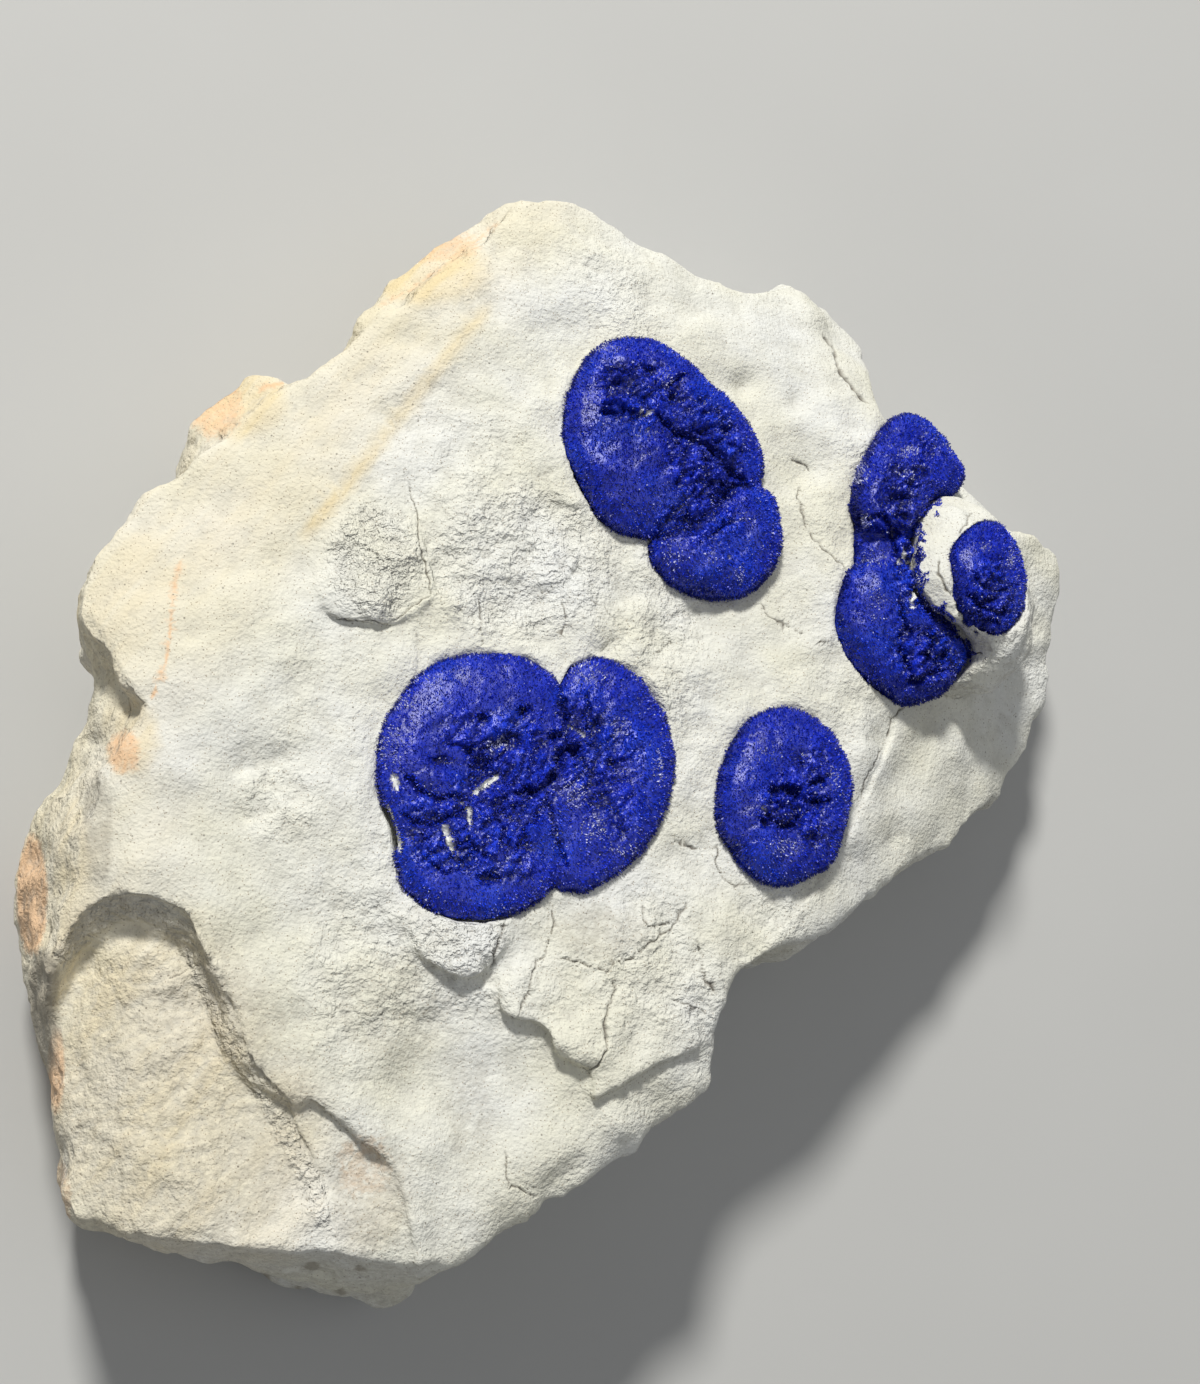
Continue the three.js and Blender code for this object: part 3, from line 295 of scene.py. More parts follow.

# What each sun's surface shows, in picture pixels, with widths and depths in millimetres. Crumbly patches are
# broken and deeply pitted. Pits are round, furrows and flaps follow paths (a flap is high on its left side).
# Smooth patches carry few crumbs, glinting ones get painted glints, clay shows white in slits where no blades
# stand, and a torn edge is ragged.
SUN_FEATURES = {
    "azurite_sun_upper": {
        "crumbly": [
            ((705, 455), (42, 60), 1.0), ((640, 392), (52, 34), 0.9), ((700, 520), (50, 22), 0.7),
        ],
        "pits": [
            ((610, 411), (9, 4), 1.2), ((620, 382), (9, 4), 0.9), ((642, 368), (15, 4), 0.8),
            ((700, 400), (6, 4), 0.6), ((726, 430), (8, 5), 0.8), ((672, 398), (5, 8), 1.0),
        ],
        "furrows": [
            ([(650, 410), (664, 420), (678, 433), (695, 440), (712, 447), (733, 471),
              (752, 487)], 0.7, 1.5),
            ([(690, 425), (712, 436), (733, 446), (750, 454)], 0.4, 0.8),
            ([(700, 452), (716, 462), (739, 477)], 0.4, 0.9),
            ([(720, 492), (728, 478), (737, 470)], 0.35, 0.7),
            ([(668, 396), (672, 380), (690, 372)], 0.4, 0.9),
            ([(752, 487), (737, 486), (724, 496), (708, 511), (689, 521), (674, 532),
              (649, 539)], 0.7, 1.6),
            ([(600, 372), (616, 368), (630, 372)], 0.3, 0.6),
            ([(692, 500), (706, 492), (716, 480)], 0.3, 0.6),
        ],
        "flaps": [
            ([(600, 402), (618, 404), (636, 412), (650, 408)], 0.8, 1.2),
            ([(680, 470), (700, 486), (712, 500)], -0.5, 1.0),
        ],
        "smooth": [
            ((610, 352), (20, 10)), ((590, 400), (14, 26)), ((676, 552), (16, 18)),
            ((666, 376), (14, 10)), ((743, 517), (10, 8)), ((738, 572), (10, 14)),
            ((620, 480), (40, 40)),
        ],
        "glinting": [
            ((608, 350), (17, 7)), ((664, 378), (11, 12)), ((675, 554), (13, 16)), ((742, 517), (7, 6)),
            ((710, 556), (9, 6)), ((738, 574), (6, 10)), ((590, 398), (7, 14)), ((648, 436), (14, 7)),
        ],
        "clay": [
            ([(638, 407), (645, 415), (652, 410)], 0.35), ([(645, 430), (653, 428)], 0.25),
            ([(728, 557), (731, 559)], 0.3),
        ],
    },
    "azurite_sun_left": {
        "crumbly": [
            ((515, 770), (52, 60), 1.0), ((460, 830), (60, 50), 0.8), ((580, 750), (36, 60), 0.8),
            ((500, 860), (50, 30), 0.6), ((470, 730), (40, 24), 0.5), ((620, 780), (40, 70), 0.45),
        ],
        "pits": [
            ((485, 718), (7, 5), 1.0), ((525, 710), (8, 6), 1.1), ((470, 752), (6, 6), 0.9),
            ((489, 878), (13, 7), 0.9), ((575, 750), (8, 9), 1.7), ((555, 735), (7, 6), 0.9),
            ((512, 740), (14, 8), 0.8), ((530, 790), (10, 8), 1.0), ((596, 730), (6, 12), 0.7),
            ((612, 765), (8, 8), 0.6), ((600, 800), (14, 10), 0.5), ((440, 760), (10, 5), 0.5),
            ((482, 764), (13, 10), 1.0), ((524, 842), (8, 10), 0.7), ((502, 814), (7, 9), 0.7),
        ],
        "furrows": [
            ([(404, 770), (420, 790), (440, 797), (468, 793)], 0.5, 0.9),
            ([(400, 812), (416, 822), (432, 824), (450, 816), (470, 806)], 0.5, 1.0),
            ([(560, 690), (567, 715), (566, 742), (560, 765), (545, 785)], 0.6, 1.3),
            ([(545, 785), (552, 815), (560, 845), (568, 868)], 0.45, 0.9),
            ([(468, 836), (476, 850), (492, 858)], 0.4, 0.8),
            ([(520, 800), (508, 822), (500, 850)], 0.4, 0.8),
            ([(586, 690), (592, 712), (586, 735)], 0.35, 0.7),
            ([(448, 742), (462, 748), (478, 744)], 0.4, 0.8),
            ([(430, 862), (446, 872), (470, 866)], 0.35, 0.6),
        ],
        "flaps": [
            ([(560, 762), (548, 774), (536, 784), (514, 790)], -1.0, 1.4),
            ([(519, 832), (534, 824), (547, 813)], -0.7, 1.0),
            ([(496, 802), (505, 830), (514, 848)], 0.5, 1.0),
            ([(470, 792), (486, 780), (500, 770)], -0.7, 1.2),
        ],
        "smooth": [
            ((430, 690), (46, 30)), ((500, 685), (50, 24)), ((395, 750), (16, 46)),
            ((470, 895), (70, 26)), ((590, 680), (34, 18)), ((650, 780), (18, 60)),
            ((600, 860), (50, 24)),
        ],
        "glinting": [
            ((405, 702), (14, 12)), ((394, 748), (14, 24)), ((586, 676), (20, 16)),
            ((619, 727), (10, 13)), ((574, 794), (14, 15)), ((592, 828), (15, 17)),
            ((430, 682), (14, 8)), ((658, 770), (7, 20)), ((622, 850), (18, 8)), ((500, 745), (16, 10)),
        ],
        "clay": [
            ([(472, 796), (480, 789), (490, 782), (498, 774)], 0.55), ([(461, 799), (464, 801)], 0.45),
            ([(470, 806), (471, 815), (472, 826)], 0.5), ([(446, 824), (452, 838), (455, 852)], 0.65),
            ([(468, 835), (469, 838)], 0.35), ([(571, 724), (580, 730), (587, 738)], 0.3),
            ([(393, 774), (396, 782), (398, 790)], 0.75),
            ([(386, 806), (389, 822), (395, 838), (400, 852)], 0.95),
        ],
    },
    "azurite_sun_lower": {
        "crumbly": [
            ((790, 806), (34, 30), 1.0), ((812, 770), (24, 26), 0.6), ((822, 838), (16, 24), 0.5),
        ],
        "pits": [
            ((775, 792), (7, 5), 1.2), ((794, 792), (9, 6), 1.5), ((766, 822), (6, 7), 1.2),
            ((784, 825), (10, 5), 1.1), ((798, 812), (5, 8), 0.9), ((812, 800), (10, 4), 0.8),
            ((818, 782), (8, 4), 0.7), ((812, 836), (10, 6), 0.5),
        ],
        "furrows": [
            ([(764, 806), (772, 818), (786, 828), (800, 824), (803, 808)], 0.5, 0.9),
            ([(806, 801), (820, 799), (832, 803)], 0.4, 0.8),
            ([(808, 786), (820, 777), (834, 776)], 0.4, 0.7),
        ],
        "flaps": [([(770, 786), (784, 784), (800, 790), (806, 802)], 0.6, 1.0)],
        "smooth": [
            ((770, 745), (40, 30)), ((735, 800), (18, 50)), ((780, 860), (44, 20)),
            ((835, 810), (12, 50)),
        ],
        "glinting": [
            ((762, 752), (18, 14)), ((785, 848), (18, 10)), ((834, 778), (7, 14)), ((806, 756), (6, 5)),
        ],
        "clay": [([(763, 806), (767, 812), (769, 818)], 0.3)],
    },
    "azurite_sun_crescent": {
        "crumbly": [
            ((902, 488), (30, 30), 1.0), ((908, 570), (14, 40), 0.9), ((925, 655), (38, 38), 1.0),
            ((930, 450), (24, 22), 0.5),
        ],
        "pits": [
            ((901, 496), (12, 6), 1.6), ((920, 472), (11, 8), 0.9), ((896, 534), (5, 5), 0.9),
            ((903, 650), (5, 4), 1.0), ((936, 673), (8, 3), 0.9), ((908, 632), (6, 8), 0.9),
            ((924, 655), (6, 8), 0.8), ((900, 515), (8, 5), 0.9), ((915, 680), (10, 5), 0.6),
            ((945, 655), (6, 6), 0.7),
        ],
        "furrows": [
            ([(856, 519), (866, 518), (878, 517), (890, 520)], 0.5, 0.9),
            ([(884, 510), (890, 530), (898, 556), (902, 580)], 0.5, 0.9),
            ([(900, 600), (904, 622), (902, 650), (912, 676)], 0.5, 1.0),
            ([(926, 632), (934, 648), (938, 668)], 0.4, 0.9),
            ([(890, 470), (902, 480), (920, 488)], 0.4, 0.8),
        ],
        "flaps": [
            ([(892, 486), (900, 492), (912, 498)], 0.6, 1.0),
            ([(896, 640), (908, 660), (914, 684)], 0.5, 1.2),
        ],
        "smooth": [
            ((868, 480), (14, 26)), ((872, 555), (16, 34)), ((862, 620), (24, 50)),
            ((900, 432), (24, 12)),
        ],
        "glinting": [
            ((860, 474), (12, 14)), ((877, 560), (15, 14)), ((875, 602), (12, 22)),
            ((905, 452), (10, 8)), ((866, 520), (6, 8)), ((908, 475), (8, 6)), ((914, 452), (6, 6)),
        ],
        "clay": [
            ([(904, 548), (908, 560), (913, 572), (912, 582)], 0.5), ([(900, 556), (902, 562)], 0.3),
            ([(914, 588), (913, 600), (917, 608)], 0.45), ([(950, 622), (955, 632), (961, 640)], 0.6),
            ([(852, 492), (850, 504)], 0.3),
        ],
        "torn": [
            [(932, 493), (923, 510), (911, 519), (919, 534), (915, 549), (912, 563), (915, 580),
              (914, 597), (916, 610), (935, 612), (947, 624), (955, 644), (966, 651)],
        ],
    },
    "azurite_sun_boss": {
        "crumbly": [((995, 590), (26, 34), 0.9), ((985, 615), (20, 18), 0.8)],
        "pits": [
            ((992, 600), (9, 4), 1.0), ((984, 586), (6, 4), 0.8), ((1002, 612), (7, 4), 0.9),
            ((978, 604), (6, 4), 0.8),
        ],
        "furrows": [
            ([(972, 570), (984, 584), (998, 590), (1010, 588)], 0.45, 0.9),
            ([(966, 590), (980, 606), (998, 612), (1010, 608)], 0.45, 1.0),
            ([(990, 575), (998, 580), (1006, 578)], 0.35, 0.6),
            ([(975, 612), (986, 620), (1000, 622)], 0.35, 0.6),
        ],
        "flaps": [([(968, 576), (980, 592), (996, 602), (1010, 600)], -0.6, 1.0)],
        "smooth": [((985, 545), (22, 16)), ((1012, 570), (8, 20))],
        "glinting": [((968, 560), (9, 12)), ((1010, 560), (5, 10)), ((985, 548), (8, 6))],
        "clay": [],
    },
}

# The crust tears into strips that run up to the right, so its creases are stretched that way.
SUN_GRAIN = np.array([[0.80, -0.30, 0.0], [-0.30, 0.95, 0.0], [0.0, 0.0, 1.0]])

# Finishes.
CREAM = (0.765, 0.75, 0.63, 1)
CHALK = (0.795, 0.80, 0.765, 1)
CLAY_GREY = (0.50, 0.485, 0.43, 1)
# Dull brown, also laid as painted shade.
DULL_AND_SHADE_BROWN = (0.34, 0.31, 0.25, 1)
OCHRE = (0.76, 0.63, 0.38, 1)
PEACH = (0.80, 0.53, 0.32, 1)
SPECK = (0.26, 0.19, 0.12, 1)
# Dark brown for real specks, and for the painted shade in the cracks.
SPECK_AND_CRACK_SHADE = (0.12, 0.10, 0.08, 1)
# Painted light: a lift for the rough patches, against the darkening that their bumps bring.
PAINTED_LIGHT_ON_ROUGH = (1.085, 1.09, 1.115, 1)
# The dark end of the suns' tone, which also carries their painted shade.
DEEP_BLUE = (0.003, 0.006, 0.12, 1)
BRIGHT_BLUE = (0.008, 0.046, 0.92, 1)
SKY_BLUE = (0.004, 0.10, 0.95, 1)
# Violet for the painted sheen.
VIOLET_BLUE = (0.10, 0.13, 0.60, 1)
# Pale lilac for painted glints.
PAINTED_GLINT_BLUE = (0.76, 0.78, 0.97, 1)
PALE_FLOOR = [(0.50, 0.50, 0.49, 1), (0.54, 0.54, 0.53, 1)]
FLOOR_SIZE = 4.0

# The beds of the stone show as faint streaks that run up to the right on the face.
STREAK_TURN = math.radians(-39)
STREAK_LENGTH = 14

# How far a stain's attribute is lowered before a patchy noise breaks up its edge.
STAIN_EDGE = -0.35

# Lights: place, size, power and colour.
KEY_LIGHT = ((-0.34, 1.25, 1.42), 0.28, 36.5, (1.0, 0.985, 0.94))
FILL_LIGHT = ((0.3, -0.2, 1.2), 0.9, 1.6, (0.95, 0.97, 1.0))
ROOM_LIGHT = 0.21
ROOM_COLOUR = (0.95, 0.97, 1.0, 1)


# Small helpers for meshes.
def select_only(piece):
    bpy.ops.object.select_all(action="DESELECT")
    piece.select_set(True)
    bpy.context.view_layer.objects.active = piece


def copy_of_node(node, name):
    """A new object with a merged copy of a node's mesh."""
    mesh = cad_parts[node].data.copy()
    mesh.materials.clear()
    piece = bpy.data.objects.new(name, mesh)
    bpy.context.scene.collection.objects.link(piece)
    select_only(piece)
    bpy.ops.object.mode_set(mode="EDIT")
    bpy.ops.mesh.select_all(action="SELECT")
    bpy.ops.mesh.remove_doubles(threshold=0.01 * MM)
    bpy.ops.object.mode_set(mode="OBJECT")
    return piece


def finish_with(piece, kind, **settings):
    """Adds one modifier with these settings and applies it."""
    select_only(piece)
    modifier = piece.modifiers.new(kind.title(), kind)
    for key, value in settings.items():
        setattr(modifier, key, value)
    bpy.ops.object.modifier_apply(modifier=modifier.name)


def points_of(mesh):
    points = np.empty(len(mesh.vertices) * 3)
    mesh.vertices.foreach_get("co", points)
    return points.reshape(-1, 3)


def put_points(mesh, points):
    mesh.vertices.foreach_set("co", points.ravel())
    mesh.update()


def normals_of(mesh):
    normals = np.empty(len(mesh.vertices) * 3)
    mesh.vertex_normals.foreach_get("vector", normals)
    return normals.reshape(-1, 3)


def edges_of(mesh):
    edges = np.empty(len(mesh.edges) * 2, dtype=np.int32)
    mesh.edges.foreach_get("vertices", edges)
    return edges.reshape(-1, 2)


def triangles_of(mesh):
    mesh.calc_loop_triangles()
    corners = np.empty(len(mesh.loop_triangles) * 3, dtype=np.int32)
    mesh.loop_triangles.foreach_get("vertices", corners)
    return corners.reshape(-1, 3)


def tree_of(piece):
    return BVHTree.FromPolygons(points_of(piece.data).tolist(), triangles_of(piece.data).tolist())


def put_attribute(mesh, name, values):
    attribute = mesh.attributes.new(name, "FLOAT", "POINT")
    attribute.data.foreach_set("value", np.asarray(values, dtype=np.float32))


def pick_points(piece, chosen):
    """Selects these of a piece's points, and leaves it in edit mode."""
    select_only(piece)
    bpy.ops.object.mode_set(mode="EDIT")
    bpy.ops.mesh.select_mode(type="VERT")
    bpy.ops.mesh.select_all(action="DESELECT")
    bpy.ops.object.mode_set(mode="OBJECT")
    piece.data.vertices.foreach_set("select", chosen)
    bpy.ops.object.mode_set(mode="EDIT")


def neighbours_mean(values, edges):
    """The mean of each vertex's neighbours."""
    count = len(values)
    degree = np.maximum(np.bincount(edges.ravel(), minlength=count), 1)
    mean = np.empty_like(values)
    for axis in range(values.shape[1]):
        column = values[:, axis]
        total = np.bincount(edges[:, 0], column[edges[:, 1]], count)
        total += np.bincount(edges[:, 1], column[edges[:, 0]], count)
        mean[:, axis] = total / degree
    return mean


def smooth(points, edges, rounds, share):
    """Moves each point towards its neighbours' mean, by a share of its own."""
    for _ in range(rounds):
        points = points + share[:, None] * (neighbours_mean(points, edges) - points)
    return points


# Noise: lumps of a given size, from gradients on a grid, the same on each run.
GRADIENTS = np.random.default_rng(7).normal(size=(256, 3))
GRADIENTS /= np.linalg.norm(GRADIENTS, axis=1)[:, None]
CORNERS = [(a, b, c) for a in (0, 1) for b in (0, 1) for c in (0, 1)]


def noise(points, size, seed=0):
    """About -1 to 1, with lumps of this size, at each point."""
    place = points / size + seed * np.array([13.7, 7.9, 3.3])
    cell = np.floor(place).astype(np.int64)
    inside = place - cell
    blend = inside**3 * (inside * (inside * 6 - 15) + 10)
    total = np.zeros(len(points))
    for corner in CORNERS:
        at = cell + corner
        key = at[:, 0] * 73856093 ^ at[:, 1] * 19349663 ^ at[:, 2] * 83492791
        key = (key ^ (key >> 11)) * 1274126177
        gradient = GRADIENTS[(key ^ (key >> 15)) & 255]
        weight = np.prod(np.where(corner, blend, 1 - blend), axis=1)
        total += weight * np.einsum("ij,ij->i", gradient, inside - corner)
    return total * 1.6


def two_noises(points, size, seed):
    """Two noises of one size side by side, for a shift in two directions."""
    return np.stack([noise(points, size, seed), noise(points, size, seed + 1)], axis=1)


def smoothstep(low, high, values):
    share = np.clip((values - low) / (high - low), 0, 1)
    return share * share * (3 - 2 * share)


# Where a point shows in the picture, and how far that is from a path or a spot.
PIXEL = EYE_DISTANCE / FOCAL_PIXELS


def in_picture(points):
    away = points - eye
    depth = -(away @ to_eye)
    across = PICTURE_SIZE[0] / 2 + FOCAL_PIXELS * (away @ eye_right) / depth
    down = PICTURE_SIZE[1] / 2 - FOCAL_PIXELS * (away @ eye_up) / depth
    return np.stack([across, down], axis=1)


def from_path(spots, path):
    """Each spot's distance from a path in metres, its side (1 is left) and how far along it is (0 to 1)."""
    nearest = np.full(len(spots), np.inf)
    side = np.zeros(len(spots))
    along = np.zeros(len(spots))
    corners = np.array(path, dtype=float)
    lengths = np.linalg.norm(np.diff(corners, axis=0), axis=1)
    starts = np.concatenate([[0], np.cumsum(lengths)])
    for start, end, gone, length in zip(corners[:-1], corners[1:], starts[:-1], lengths):
        run = (end - start) / length
        offset = spots - start
        reach = np.clip(offset @ run, 0, length)
        gap = offset - reach[:, None] * run
        distance = np.hypot(gap[:, 0], gap[:, 1])
        closer = distance < nearest
        nearest[closer] = distance[closer]
        turn = run[0] * offset[:, 1] - run[1] * offset[:, 0]
        side[closer] = -np.sign(turn[closer])
        along[closer] = (gone + reach[closer]) / starts[-1]
    return nearest * PIXEL, side, along


def round_path(spots, path, margin):
    """Whether each spot lies in the box round a path, with a margin in pixels."""
    low = np.min(path, axis=0) - margin
    high = np.max(path, axis=0) + margin
    return np.all((spots > low) & (spots < high), axis=1)


def patch(spots, middle, radii):
    """1 inside an oval patch of the picture, fading to 0 at its edge."""
    reach = np.hypot((spots[:, 0] - middle[0]) / radii[0], (spots[:, 1] - middle[1]) / radii[1])
    return 1 - smoothstep(0.6, 1.15, reach)


def with_patches(values, spots, patches, weight=1.0):
    """The larger of these values and the amount of each oval patch."""
    for middle, radii, amount in patches:
        values = np.maximum(values, amount * weight * patch(spots, middle, radii))
    return values


def ease_ends(along):
    """Fades a path's effect in and out at its ends."""
    return smoothstep(0, 0.12, along) * (1 - smoothstep(0.88, 1, along))


# The claystone.
def face_masks(points, normals):
    """Each point's place in the picture, and masks for facing the eye, facing up and the scoop's floor."""
    spots = in_picture(points)
    shown = smoothstep(0.15, 0.5, normals @ to_eye)
    up = smoothstep(0.35, 0.7, normals[:, 2])
    scoop = shown * patch(spots, *SCOOP_FLOOR) + 0.5 * shown * patch(spots, *SECOND_FACET)
    return spots, shown, up, scoop


def roughness(points, normals):
    """How rough the stone is, 0 to 1: first without the scoop, then with its floor and wall."""
    spots, shown, up, scoop = face_masks(points, normals)
    upper_left = smoothstep(*CALM_UPPER_LEFT, spots[:, 0] + CALM_SLANT * spots[:, 1])
    calm = np.maximum(upper_left, smoothstep(*CALM_LEFT, spots[:, 0]))
    for middle, radii in CALM_PATCHES:
        calm = np.maximum(calm, patch(spots, middle, radii))
    rough = (0.24 + 0.34 * smoothstep(-0.1, 0.6, noise(points, 22 * MM, 3))) * (1 - 0.7 * calm)
    rough = with_patches(rough, spots, ROUGH_PATCHES, shown)
    rough = np.maximum(rough, 0.5 * (1 - up))
    with_scoop = np.maximum(rough, 0.38 * scoop)
    return rough, np.maximum(with_scoop, 0.75 * scoop_wall(spots))


def shape_face(points, normals):
    """How far each point of the stone moves along its normal, in metres, before cracks are cut."""
    spots, shown, up, scoop = face_masks(points, normals)
    rough, rough_with_scoop = roughness(points, normals)
    flank = 1 - up
    move = np.zeros(len(points))
    for size, height, by_rough in GRAIN:
        amount = (1 - by_rough) + by_rough * 1.5 * rough
        move += height * MM * amount * noise(points, size * MM, int(size * 10))
    flutes = 0.35 * noise(points * [1, 1, 0.3], 2.6 * MM, 5) + noise(points * [1, 1, 0.4], 7 * MM, 6)
    move += 0.85 * MM * flank * flutes
    ripples = np.abs(noise(points @ RIPPLE_GRAIN, 3.2 * MM, 15)) + 0.5 * np.abs(noise(points, 1.6 * MM, 16))
    move += 0.8 * MM * scoop * (ripples - 0.35)
    pits = np.maximum(noise(points, 2.4 * MM, 8) - 0.42, 0)
    move -= 1.1 * MM * pits * (0.35 + rough_with_scoop)
    for middle, radius, height in DENTS:
        gap = np.hypot(spots[:, 0] - middle[0], spots[:, 1] - middle[1]) * PIXEL
        move += up * height * MM * np.exp(-((gap / (radius * MM)) ** 2))
    for path, height, reach in LEDGES:
        distance, side, along = from_path(spots, path)
        fall = np.exp(-distance / (reach * MM)) * ease_ends(along) * shown
        move += 0.5 * height * MM * fall * side
    return move


def shallower_notch(points):
    """How far the floor of the notch under the left ledge rises, in metres. The ledge's own edge stays."""
    height = points[:, 2] / MM
    floor = smoothstep(*NOTCH_TOP, height) * smoothstep(*NOTCH_FOOT, height)
    return NOTCH_RISE * floor * patch(in_picture(points), *LEFT_NOTCH)


def scoop_wall(spots):
    """1 on the narrow broken wall round the scoop, 0 elsewhere."""
    band = np.zeros(len(spots))
    for line, reach in SCOOP_WALL:
        distance, _, along = from_path(spots, line)
        band = np.maximum(band, 1 - smoothstep(0.7 * reach * MM, 1.2 * reach * MM, distance))
    return band


def refine_near(piece, paths, reach, cuts):
    """Splits the edges close to these paths of the picture, so that fine lines have points to stand on."""
    for _ in range(cuts):
        mesh = piece.data
        points = points_of(mesh)
        spots = in_picture(points)
        facing = normals_of(mesh) @ to_eye > FACES_EYE
        near = np.zeros(len(points), dtype=bool)
        for path in paths:
            inside = facing & round_path(spots, path, LINE_MARGIN)
            near[inside] |= from_path(spots[inside], path)[0] < reach
        edges = edges_of(mesh)
        chosen = near[edges].all(axis=1)
        select_only(piece)
        bpy.ops.object.mode_set(mode="EDIT")
        bpy.ops.mesh.select_all(action="DESELECT")
        bpy.ops.mesh.select_mode(type="EDGE")
        bpy.ops.object.mode_set(mode="OBJECT")
        mesh.edges.foreach_set("select", chosen)
        bpy.ops.object.mode_set(mode="EDIT")
        bpy.ops.mesh.subdivide(number_cuts=1, smoothness=0)
        bpy.ops.mesh.select_all(action="SELECT")
        bpy.ops.mesh.quads_convert_to_tris()
        bpy.ops.object.mode_set(mode="OBJECT")
        reach *= 0.62


def cut_cracks(points, normals):
    """How far each point sinks into a crack, in metres, and how deep in shade it lies there (0 to 1)."""
    spots = in_picture(points)
    facing = normals @ to_eye > FACES_EYE
    sink = np.zeros(len(points))
    shade = np.zeros(len(points))
    wobble = two_noises(points, 1.6 * MM, 11) * 2.2
    vary = noise(points, 3.0 * MM, 13)
    for path, width, depth in CRACKS:
        inside = np.flatnonzero(facing & round_path(spots, path, LINE_MARGIN))
        distance, _, along = from_path((spots + wobble)[inside], path)
        open_by = width * MM * (0.4 + 0.6 * ease_ends(along)) * np.clip(0.9 + 0.6 * vary[inside], 0.4, 1.6)
        close = np.exp(-((distance / open_by) ** 2))
        sink[inside] = np.maximum(sink[inside], depth * MM * close * ease_ends(along))
        shade[inside] = np.maximum(shade[inside], close * ease_ends(along))
    return sink, shade


def stain_masks(points, normals):
    """Yellow and peach stains of the stone, and grey-brown that is part dull stain, part painted shade: 0 to
    1 at each point.
    """
    spots = in_picture(points)
    yellow = 0.42 * smoothstep(*YELLOW_UP_LEFT, (spots - YELLOW_CORNER) @ UP_LEFT)
    blotch = 0.5 + 0.5 * noise(points, 14 * MM, 22)
    left = smoothstep(*YELLOW_ACROSS, spots[:, 0]) * smoothstep(*YELLOW_DOWN, spots[:, 1])
    yellow = np.maximum(yellow, 0.5 * left * (0.4 + blotch))
    yellow = with_patches(yellow, spots, YELLOW_PATCHES)
    distance, _, along = from_path(spots, YELLOW_LINE)
    yellow = np.maximum(yellow, 0.95 * np.exp(-((distance / (1.6 * MM)) ** 2)) * ease_ends(along))
    peach = np.zeros(len(points))
    for path, width, amount in PEACH_LINES:
        distance, _, along = from_path(spots, path)
        peach = np.maximum(peach, amount * np.exp(-distance / (width * MM)) * ease_ends(along))
    peach = with_patches(peach, spots, PEACH_PATCHES)
    # Painted shade on the scoop's wall, fading out towards its lower end.
    fade = smoothstep(*SHADED_WALL_DOWN, spots[:, 1])
    # Painted shade, with a dull brown tint, on the faces turned down.
    underside = 0.34 * smoothstep(0.1, -0.35, normals[:, 1]) * (normals[:, 2] < 0.5)
    dull_and_shade = np.maximum(0.45 * fade * scoop_wall(spots), underside)
    dull_and_shade = with_patches(dull_and_shade, spots, DULL_AND_SHADE_PATCHES)
    return np.clip(yellow, 0, 1), np.clip(peach, 0, 1), np.clip(dull_and_shade, 0, 1)


def near_suns(points):
    """1 on the stone's sockets and their lips, 0 beyond them."""
    near = np.zeros(len(points))
    for node in SUNS:
        low, high = (np.array(corner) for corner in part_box(node))
        in_box = (points > low - SOCKET_LIP) & (points < high + SOCKET_LIP)
        tree = tree_of(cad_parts[node])
        for index in np.flatnonzero(in_box.all(axis=1)):
            found = tree.find_nearest(Vector(points[index]), SOCKET_LIP)
            if found[0] is not None:
                near[index] = max(near[index], 1 - found[3] / SOCKET_LIP)
    return smoothstep(0.0, 0.5, near)


